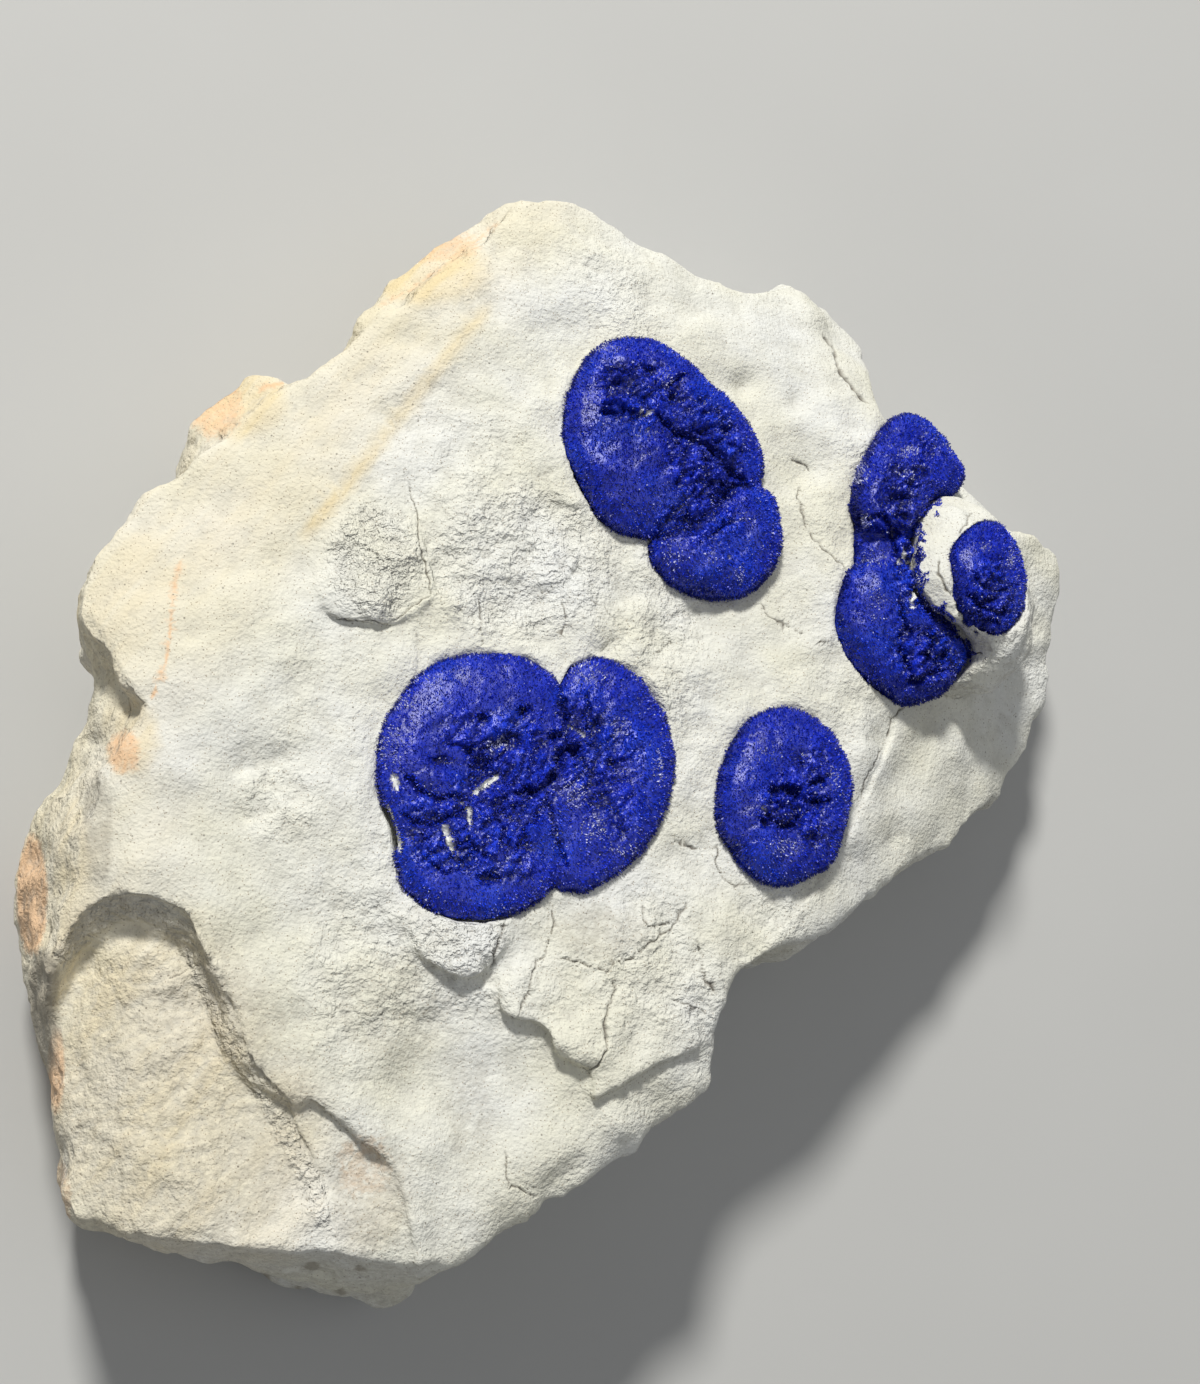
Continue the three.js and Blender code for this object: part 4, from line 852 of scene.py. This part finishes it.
def build_stone():
    stone = copy_of_node("claystone_matrix", "claystone_block")
    finish_with(stone, "REMESH", mode="VOXEL", voxel_size=STONE_VOXEL, adaptivity=0.0)
    mesh = stone.data
    points = points_of(mesh)
    edges = edges_of(mesh)
    spots = in_picture(points)
    crisp = np.zeros(len(points))
    for path in [ledge[0] for ledge in LEDGES] + CRISP_EDGES:
        distance, _, _ = from_path(spots, path)
        crisp = np.maximum(crisp, np.exp(-((distance / CRISP_WIDTH) ** 2)))
    lip = near_suns(points)
    share = 0.6 * (1 - np.maximum(0.85 * crisp, lip))
    share[points[:, 2] < FLAT_BACK] = 0
    points = smooth(points, edges, STONE_SMOOTHING, share)
    put_points(mesh, points)
    normals = normals_of(mesh)
    move = shape_face(points, normals)
    points[:, 2] += shallower_notch(points)
    move *= 1 - lip
    move[points[:, 2] < STILL_FOOT] = 0
    points = points + move[:, None] * normals
    points = smooth(points, edges, 1, 0.3 * (1 - lip))
    points = np.clip(points, np.array(solid_box[0]), np.array(solid_box[1]))
    put_points(mesh, points)
    triangles = 2 * len(mesh.polygons)
    finish_with(stone, "DECIMATE", ratio=min(1.0, STONE_TRIANGLES / triangles))
    fine_lines = [crack[0] for crack in CRACKS]
    fine_lines += [path for features in SUN_FEATURES.values() for path in features.get("torn", [])]
    fine_lines += [line[0] for line in PEACH_LINES]
    refine_near(stone, fine_lines, FINE_REACH, FINE_CUTS)
    points = points_of(mesh)
    normals = normals_of(mesh)
    sink, shade = cut_cracks(points, normals)
    put_points(mesh, points - sink[:, None] * normals)
    yellow, peach, dull_and_shade = stain_masks(points, normals)
    # Painted shade in the cracks: how deep in shade each point of a crack lies.
    put_attribute(mesh, "crack", 0.9 * shade)
    put_attribute(mesh, "rough", roughness(points, normals)[1])
    put_attribute(mesh, "yellow", yellow)
    put_attribute(mesh, "peach", peach)
    put_attribute(mesh, "dull_and_shade", dull_and_shade)
    # Painted shade: the stone's colour is darkened towards grey in its hollows, by how far each point sits
    # below its neighbours.
    points = points_of(mesh)
    bend = np.einsum("ij,ij->i", neighbours_mean(points, edges_of(mesh)) - points, normals_of(mesh))
    put_attribute(mesh, "hollow_shade", np.clip(bend / (0.12 * MM), -1, 1))
    mesh.materials.append(claystone_material())
    mesh.shade_smooth()
    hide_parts("claystone_matrix")
    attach(stone, "root")
    return stone


# Materials.
def new_material(name):
    material = bpy.data.materials.new(name)
    material.use_nodes = True
    graph = material.node_tree
    place = graph.nodes.new("ShaderNodeTexCoord").outputs["Object"]
    return material, graph, graph.nodes["Principled BSDF"], place


def noise_node(graph, place, size, detail=3.0, rough=0.55):
    """Noise whose lumps are about this size, in metres."""
    node = graph.nodes.new("ShaderNodeTexNoise")
    node.inputs["Scale"].default_value = 1 / size
    node.inputs["Detail"].default_value = detail
    node.inputs["Roughness"].default_value = rough
    graph.links.new(place, node.inputs["Vector"])
    return node.outputs["Fac"]


def ramp_node(graph, value, stops):
    """A value turned into colours or greys at these stops."""
    node = graph.nodes.new("ShaderNodeValToRGB")
    ramp = node.color_ramp
    while len(ramp.elements) < len(stops):
        ramp.elements.new(0.5)
    for element, (at, colour) in zip(ramp.elements, stops):
        element.position = at
        element.color = colour
    graph.links.new(value, node.inputs["Fac"])
    return node.outputs["Color"]


def mix_node(graph, share, first, second, kind="MIX"):
    node = graph.nodes.new("ShaderNodeMix")
    node.data_type = "RGBA"
    node.blend_type = kind
    for socket, value in ((node.inputs[0], share), (node.inputs[6], first), (node.inputs[7], second)):
        if isinstance(value, bpy.types.NodeSocket):
            graph.links.new(value, socket)
        else:
            socket.default_value = value
    return node.outputs[2]


def math_node(graph, kind, first, second, third=0, clamp=False):
    node = graph.nodes.new("ShaderNodeMath")
    node.operation = kind
    node.use_clamp = clamp
    for socket, value in zip(node.inputs, (first, second, third)):
        if isinstance(value, bpy.types.NodeSocket):
            graph.links.new(value, socket)
        else:
            socket.default_value = value
    return node.outputs[0]


def attribute_node(graph, name):
    node = graph.nodes.new("ShaderNodeAttribute")
    node.attribute_name = name
    return node.outputs["Fac"]


def bump_node(graph, height, distance, strength, normal=None):
    node = graph.nodes.new("ShaderNodeBump")
    node.inputs["Distance"].default_value = distance
    node.inputs["Strength"].default_value = strength
    graph.links.new(height, node.inputs["Height"])
    if normal is not None:
        graph.links.new(normal, node.inputs["Normal"])
    return node.outputs["Normal"]


def grey(value):
    return (value, value, value, 1)


def specks_node(graph, place, spacing, radius):
    """1 on small round specks this far apart, 0 between them. The radius is a share of the spacing."""
    node = graph.nodes.new("ShaderNodeTexVoronoi")
    node.inputs["Scale"].default_value = 1 / spacing
    graph.links.new(place, node.inputs["Vector"])
    return ramp_node(graph, node.outputs["Distance"], [(0.6 * radius, grey(0.7)), (1.4 * radius, grey(0))])


def patchy_stain(graph, name, patchy, stops):
    """A stain from one of the stone's attributes, with its edge broken up by a patchy noise."""
    stain = math_node(graph, "ADD", attribute_node(graph, name), STAIN_EDGE)
    return ramp_node(graph, math_node(graph, "ADD", stain, patchy), stops)


def claystone_material():
    material, graph, shader, place = new_material("chalky claystone")
    broad = noise_node(graph, place, 24 * MM, 3)
    broad = ramp_node(graph, broad, [(0.35, grey(0)), (0.65, grey(1))])
    colour = mix_node(graph, broad, CREAM, CHALK)
    mottle = noise_node(graph, place, 2.2 * MM, 5, 0.7)
    mottle = ramp_node(graph, mottle, [(0.3, grey(0)), (0.7, grey(1))])
    colour = mix_node(graph, math_node(graph, "MULTIPLY", mottle, 0.20), colour, CLAY_GREY)
    along = graph.nodes.new("ShaderNodeMapping")
    along.vector_type = "TEXTURE"
    along.inputs["Rotation"].default_value = (0, 0, STREAK_TURN)
    along.inputs["Scale"].default_value = (1, STREAK_LENGTH, 1)
    graph.links.new(place, along.inputs["Vector"])
    streaks = noise_node(graph, along.outputs["Vector"], 5 * MM, 3)
    streaks = ramp_node(graph, streaks, [(0.42, grey(0.65)), (0.62, grey(1))])
    yellow = math_node(graph, "MULTIPLY", attribute_node(graph, "yellow"), streaks)
    colour = mix_node(graph, yellow, colour, OCHRE)
    patchy = noise_node(graph, place, 1.3 * MM, 4, 0.7)
    peach = patchy_stain(graph, "peach", patchy, [(0.36, grey(0)), (0.8, grey(0.9))])
    colour = mix_node(graph, peach, colour, PEACH)
    # Dull stains and painted shade, in brown.
    dull_and_shade = patchy_stain(graph, "dull_and_shade", patchy, [(0.34, grey(0)), (0.95, grey(0.85))])
    colour = mix_node(graph, dull_and_shade, colour, DULL_AND_SHADE_BROWN)
    colour = mix_node(graph, specks_node(graph, place, 0.7 * MM, 0.16), colour, SPECK)
    colour = mix_node(graph, specks_node(graph, place, 2.6 * MM, 0.065), colour, SPECK_AND_CRACK_SHADE)
    # Painted shade in the hollows, in clay grey.
    hollow_shade = math_node(graph, "MULTIPLY", attribute_node(graph, "hollow_shade"), 0.35, clamp=True)
    colour = mix_node(graph, hollow_shade, colour, CLAY_GREY)
    # Painted shade in the cracks.
    colour = mix_node(graph, attribute_node(graph, "crack"), colour, SPECK_AND_CRACK_SHADE)
    # Painted light: the rough patches are lightened to make up for the darkening that their bumps bring.
    painted_light_on_rough = math_node(graph, "MULTIPLY", attribute_node(graph, "rough"), 1.0, clamp=True)
    colour = mix_node(graph, painted_light_on_rough, colour, PAINTED_LIGHT_ON_ROUGH, "MULTIPLY")
    graph.links.new(colour, shader.inputs["Base Color"])
    shader.inputs["Roughness"].default_value = 0.94
    shader.inputs["Specular IOR Level"].default_value = 0.18
    rough = math_node(graph, "POWER", attribute_node(graph, "rough"), 1.7)
    rough = math_node(graph, "MULTIPLY_ADD", rough, 1.6, 0.14)
    coarse = noise_node(graph, place, 1.4 * MM, 3, 0.55)
    grain = noise_node(graph, place, 0.6 * MM, 2, 0.5)
    normal = bump_node(graph, math_node(graph, "MULTIPLY", coarse, rough), 1.5 * MM, 1.0)
    normal = bump_node(graph, grain, 0.28 * MM, 1.0, normal)
    graph.links.new(normal, shader.inputs["Normal"])
    return material


def azurite_material():
    material, graph, shader, place = new_material("azurite blades")
    # The tone is random, with painted shade: darker in dips, on crumbly parts and at rims.
    tone_and_shade = attribute_node(graph, "tone_and_shade")
    colour = mix_node(graph, tone_and_shade, DEEP_BLUE, BRIGHT_BLUE)
    drift = noise_node(graph, place, 11 * MM, 2)
    drift = ramp_node(graph, drift, [(0.48, grey(0)), (0.66, grey(0.45))])
    colour = mix_node(graph, math_node(graph, "MULTIPLY", drift, tone_and_shade), colour, SKY_BLUE)
    # Painted sheen: a faint violet veil laid over the blue in patches of noise.
    sheen_veil = noise_node(graph, place, 6 * MM, 3)
    sheen_veil = ramp_node(graph, sheen_veil, [(0.45, grey(0)), (0.7, grey(1))])
    violet = math_node(graph, "MULTIPLY", sheen_veil, 0.09)
    colour = mix_node(graph, violet, colour, VIOLET_BLUE)
    # Painted glints on the blades.
    painted_glint = attribute_node(graph, "painted_glint")
    colour = mix_node(graph, painted_glint, colour, PAINTED_GLINT_BLUE)
    colour = mix_node(graph, attribute_node(graph, "clay"), colour, CHALK)
    graph.links.new(colour, shader.inputs["Base Color"])
    shader.inputs["Roughness"].default_value = 0.38
    shader.inputs["IOR"].default_value = 1.7
    shader.inputs["Specular IOR Level"].default_value = 0.38
    normal = bump_node(graph, noise_node(graph, place, 0.3 * MM, 3), 0.1 * MM, 0.7)
    graph.links.new(normal, shader.inputs["Normal"])
    return material


# The suns.
def near_path(points, spots, path, width, wobble=1.0):
    """1 on a path, fading over its width in millimetres, narrowing to nothing at its ends."""
    shift = two_noises(points, 1.5 * MM, 31)
    distance, side, along = from_path(spots + 3.0 * wobble * shift, path)
    ends = smoothstep(0, 0.15, along) * (1 - smoothstep(0.85, 1, along))
    half = width * MM * (0.4 + 0.6 * ends)
    return np.exp(-((distance / half) ** 2)), side, distance, ends


def sun_relief(points, node, seed):
    """How far each point of a sun moves along its normal, in metres, how crumbly it is, where it gets painted
    glints and where it is bare.
    """
    features = SUN_FEATURES[node]
    spots = in_picture(points)
    crumbly = with_patches(np.full(len(points), 0.12), spots, features["crumbly"])
    for middle, radii in features["smooth"]:
        crumbly *= 1 - 0.7 * patch(spots, middle, radii)
    grain = points @ SUN_GRAIN
    creases = 0.95 * np.abs(noise(grain, 3.9 * MM, seed)) + 0.55 * np.abs(noise(grain, 1.5 * MM, seed + 1))
    lumps = 0.35 * noise(points, 4.5 * MM, seed + 2) + 0.14 * noise(points, 1.3 * MM, seed + 3)
    crumbs = np.maximum(noise(points, 1.15 * MM, seed + 4) - 0.15, 0)
    move = lumps * (0.6 + crumbly) + crumbly * (2.7 * (creases - 0.38) - 1.3 * crumbs)
    shift = 2.5 * two_noises(points, 1.2 * MM, seed + 5)
    for middle, radii, depth in features["pits"]:
        move -= 1.5 * depth * patch(spots + shift, middle, radii)
    for path, width, depth in features["furrows"]:
        close, _, _, ends = near_path(points, spots, path, width)
        move -= 1.4 * depth * close * (0.3 + 0.7 * ends)
    for path, height, reach in features["flaps"]:
        _, side, distance, ends = near_path(points, spots, path, reach)
        move += 1.1 * height * side * np.exp(-distance / (reach * MM)) * ends
    glinting = np.zeros(len(points))
    for middle, radii in features["glinting"]:
        glinting = np.maximum(glinting, patch(spots, middle, radii))
    clay = np.zeros(len(points))
    for path, width in features["clay"]:
        close, _, _, _ = near_path(points, spots, path, width, 0.35)
        clay = np.maximum(clay, smoothstep(0.35, 0.6, close))
        move -= 0.9 * close
    return move * MM, crumbly, glinting, clay


def ragged_edge(points, node, seed):
    """A sideways shift of each point, in metres, slight at every rim and large on the edges that are torn."""
    shift = np.zeros((len(points), 3))
    shift[:, :2] = 0.8 * two_noises(points, 2.0 * MM, seed + 7)
    shift[:, :2] += 0.35 * two_noises(points, 0.9 * MM, seed + 9)
    amount = np.full(len(points), 0.25)
    spots = in_picture(points)
    for path in SUN_FEATURES[node].get("torn", []):
        distance, _, along = from_path(spots, path)
        amount = np.maximum(amount, 1.5 * np.exp(-((distance / (1.6 * MM)) ** 2)) * ease_ends(along))
    return amount[:, None] * MM * shift


def blades_on(points, corners, normals, masks, stone_tree, seed, thickly=1.0):
    """A cloud of chisel-shaped blades standing on a surface: their corners, triangles, tones with painted
    shade, and painted glints.
    """
    crumbly, glinting, clay = masks
    random = np.random.default_rng(seed)
    a, b, c = (points[corners[:, i]] for i in range(3))
    areas = 0.5 * np.linalg.norm(np.cross(b - a, c - a), axis=1)
    count = int(areas.sum() / MM**2 * BLADES_PER_MM2 * thickly)
    chosen = random.choice(len(areas), count, p=areas / areas.sum())
    u, v = random.random((2, count))
    flip = u + v > 1
    u[flip], v[flip] = 1 - u[flip], 1 - v[flip]
    foot = a[chosen] + u[:, None] * (b - a)[chosen] + v[:, None] * (c - a)[chosen]
    facing = normals[corners[chosen]].mean(axis=1)
    facing /= np.linalg.norm(facing, axis=1)[:, None]
    at = corners[chosen, 0]
    kept = clay[at] < 0.3
    kept &= np.array([free_of_stone(stone_tree, p, n) for p, n in zip(foot, facing)], dtype=bool)
    kept = np.flatnonzero(kept)[:max(0, MOST_SUN_TRIANGLES - len(corners)) // 4]
    foot, facing, at = foot[kept], facing[kept], at[kept]
    count = len(foot)
    outward = foot - points.mean(axis=0)
    outward /= np.linalg.norm(outward, axis=1)[:, None]
    loose = 0.32 + 0.4 * crumbly[at][:, None]
    lean = facing + 0.4 * outward + loose * random.normal(size=(count, 3))
    lean /= np.linalg.norm(lean, axis=1)[:, None]
    across = np.cross(lean, random.normal(size=(count, 3)))
    across /= np.linalg.norm(across, axis=1)[:, None]
    thin = np.cross(lean, across)
    rim = smoothstep(0.6, 0.2, facing[:, 2])[:, None]
    width = random.uniform(*BLADE_WIDTH, count)[:, None] * MM
    tall = random.uniform(*BLADE_HEIGHT, count)[:, None]
    tall = (tall + random.uniform(*RIM_GAIN, count)[:, None] * rim) * MM
    buried = BLADE_ROOT * MM
    corner = np.stack(
        [
            foot + lean * tall + across * width,
            foot + lean * tall - across * width,
            foot - lean * buried + thin * width * 0.7,
            foot - lean * buried - thin * width * 0.7,
        ],
        axis=1,
    ).reshape(-1, 3)
    faces = np.array([[0, 1, 2], [1, 0, 3], [2, 3, 0], [3, 2, 1]])
    triangles = (faces[None] + 4 * np.arange(count)[:, None, None]).reshape(-1, 3)
    # Random tone, darkened as painted shade on crumbly parts and on blades at rims.
    tone_and_shade = random.random(count) * (1 - 0.35 * crumbly[at]) * (1 - 0.7 * rim[:, 0])
    # Painted glints: a few blades, and many in the glinting patches, are painted pale.
    sparkle = (random.random(count) < SPARKLING_SHARE + 0.5 * glinting[at]) * random.uniform(0.3, 1.0, count)
    return corner, triangles, np.repeat(tone_and_shade, 4), np.repeat(sparkle, 4)


def overgrown_stone(stone, node, seed):
    """The stone's triangles that this sun's crystals have grown over, in patches beside its torn edges."""
    mesh = stone.data
    points = points_of(mesh)
    corners = triangles_of(mesh)
    middles = points[corners].mean(axis=1)
    spots = in_picture(middles)
    facing = normals_of(mesh)[corners].mean(axis=1) @ to_eye > 0.3
    grown = np.zeros(len(corners), dtype=bool)
    for path in SUN_FEATURES[node].get("torn", []):
        inside = np.flatnonzero(facing & round_path(spots, path, TORN_MARGIN))
        distance, _, _ = from_path(spots[inside], path)
        spread = 1.5 + 2.2 * noise(middles[inside], 1.9 * MM, seed + 11)
        grown[inside] |= distance < spread * MM
    return points, corners[grown], normals_of(mesh)


def free_of_stone(tree, point, normal):
    """Whether nothing of the stone is close in front of this point of a sun's surface."""
    start = Vector(point + 0.02 * MM * normal)
    hit = tree.ray_cast(start, Vector(normal), CLEAR_OF_STONE)
    return hit[0] is None


def thin_underside(sun):
    """Merges most of the faces of a sun's underside, which lies hidden in its socket."""
    pick_points(sun, normals_of(sun.data)[:, 2] < -0.5)
    bpy.ops.mesh.decimate(ratio=UNDERSIDE_KEPT)
    bpy.ops.object.mode_set(mode="OBJECT")


def press_below_top(points):
    """Presses the last few millimetres under the construction's top together, so that no blade passes it."""
    top = solid_box[1][2]
    start = top - PRESSED_HEIGHT
    over = points[:, 2] > start
    highest = max(points[:, 2].max(), top)
    points[over, 2] = start + (points[over, 2] - start) * PRESSED_HEIGHT / (highest - start)
    return points


def build_sun(node, seed, stone, stone_tree, material):
    name = node.replace("azurite_sun", "azurite_rosette")
    sun = copy_of_node(node, name)
    finish_with(sun, "REMESH", mode="VOXEL", voxel_size=SUN_VOXEL, adaptivity=0.0)
    thin_underside(sun)
    mesh = sun.data
    points = points_of(mesh)
    points = smooth(points, edges_of(mesh), SUN_SMOOTHING, np.full(len(points), 0.6))
    put_points(mesh, points)
    points = points + SUN_SWELL * normals_of(mesh)
    put_points(mesh, points)
    move, crumbly, glinting, clay = sun_relief(points, node, seed)
    points = points + move[:, None] * normals_of(mesh) + ragged_edge(points, node, seed)
    put_points(mesh, points)
    base = triangles_of(mesh)
    masks = (crumbly, glinting, clay)
    corner, triangles, tone_and_shade, sparkle = blades_on(points, base, normals_of(mesh), masks, stone_tree, seed)
    if "torn" in SUN_FEATURES[node]:
        ground, patches, ground_normals = overgrown_stone(stone, node, seed)
        bare = np.zeros(len(ground))
        more = blades_on(ground, patches, ground_normals, (bare + 0.4, bare, bare), stone_tree, seed + 1, 3.0)
        triangles = np.concatenate([triangles, more[1] + len(corner)])
        corner = np.concatenate([corner, more[0]])
        tone_and_shade = np.concatenate([tone_and_shade, more[2]])
        sparkle = np.concatenate([sparkle, more[3]])
    joined = bpy.data.meshes.new(name)
    everything = press_below_top(np.concatenate([points, corner]))
    faces = np.concatenate([base, triangles + len(points)])
    joined.from_pydata(everything.tolist(), [], faces.tolist())
    # Painted shade: the sun's own surface is darker where it dips into pits and furrows.
    depth_shade = np.clip(0.35 + move / (1.5 * MM), 0, 0.6)
    put_attribute(joined, "tone_and_shade", np.concatenate([depth_shade, tone_and_shade]))
    put_attribute(joined, "painted_glint", np.concatenate([np.zeros(len(points)), sparkle]))
    put_attribute(joined, "clay", np.concatenate([clay, np.zeros(len(corner))]))
    joined.materials.append(material)
    sun.data = joined
    joined.shade_flat()
    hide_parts(node)
    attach(sun, "root")


# The room: a plain pale floor, soft light from above the picture, and the camera.
def build_floor():
    bpy.ops.object.select_all(action="DESELECT")
    bpy.ops.mesh.primitive_plane_add(size=FLOOR_SIZE, location=(0, 0, 0))
    floor = bpy.context.active_object
    floor.name = "floor"
    material, graph, shader, place = new_material("pale floor")
    cloud = noise_node(graph, place, 0.08, 2)
    graph.links.new(mix_node(graph, cloud, *PALE_FLOOR), shader.inputs["Base Color"])
    shader.inputs["Roughness"].default_value = 0.8
    floor.data.materials.append(material)


def add_light(name, place, size, power, colour, target=(0, 0, 0.03)):
    data = bpy.data.lights.new(name, "AREA")
    data.shape = "DISK"
    data.size = size
    data.energy = power
    data.color = colour
    lamp = bpy.data.objects.new(name, data)
    lamp.location = place
    lamp.rotation_euler = (Vector(target) - Vector(place)).to_track_quat("-Z", "Y").to_euler()
    bpy.context.scene.collection.objects.link(lamp)


def build_lights():
    add_light("key", *KEY_LIGHT)
    add_light("fill", *FILL_LIGHT)
    world = bpy.data.worlds.new("soft room")
    world.use_nodes = True
    background = world.node_tree.nodes["Background"]
    background.inputs["Color"].default_value = ROOM_COLOUR
    background.inputs["Strength"].default_value = ROOM_LIGHT
    bpy.context.scene.world = world
    bpy.context.scene.view_settings.view_transform = "Standard"


def build_camera():
    data = bpy.data.cameras.new("camera")
    data.sensor_width = SENSOR
    data.lens = FOCAL_PIXELS * SENSOR / PICTURE_SIZE[1]
    data.clip_start = 10 * MM
    camera = bpy.data.objects.new("camera", data)
    turn = Matrix((eye_right, eye_up, to_eye)).transposed().to_4x4()
    camera.matrix_world = Matrix.Translation(Vector(eye)) @ turn
    bpy.context.scene.collection.objects.link(camera)
    bpy.context.scene.camera = camera


build_camera()
build_floor()
build_lights()
stone = build_stone()
stone_tree = tree_of(stone)
blades = azurite_material()
for number, node in enumerate(SUNS):
    build_sun(node, 40 + 10 * number, stone, stone_tree, blades)
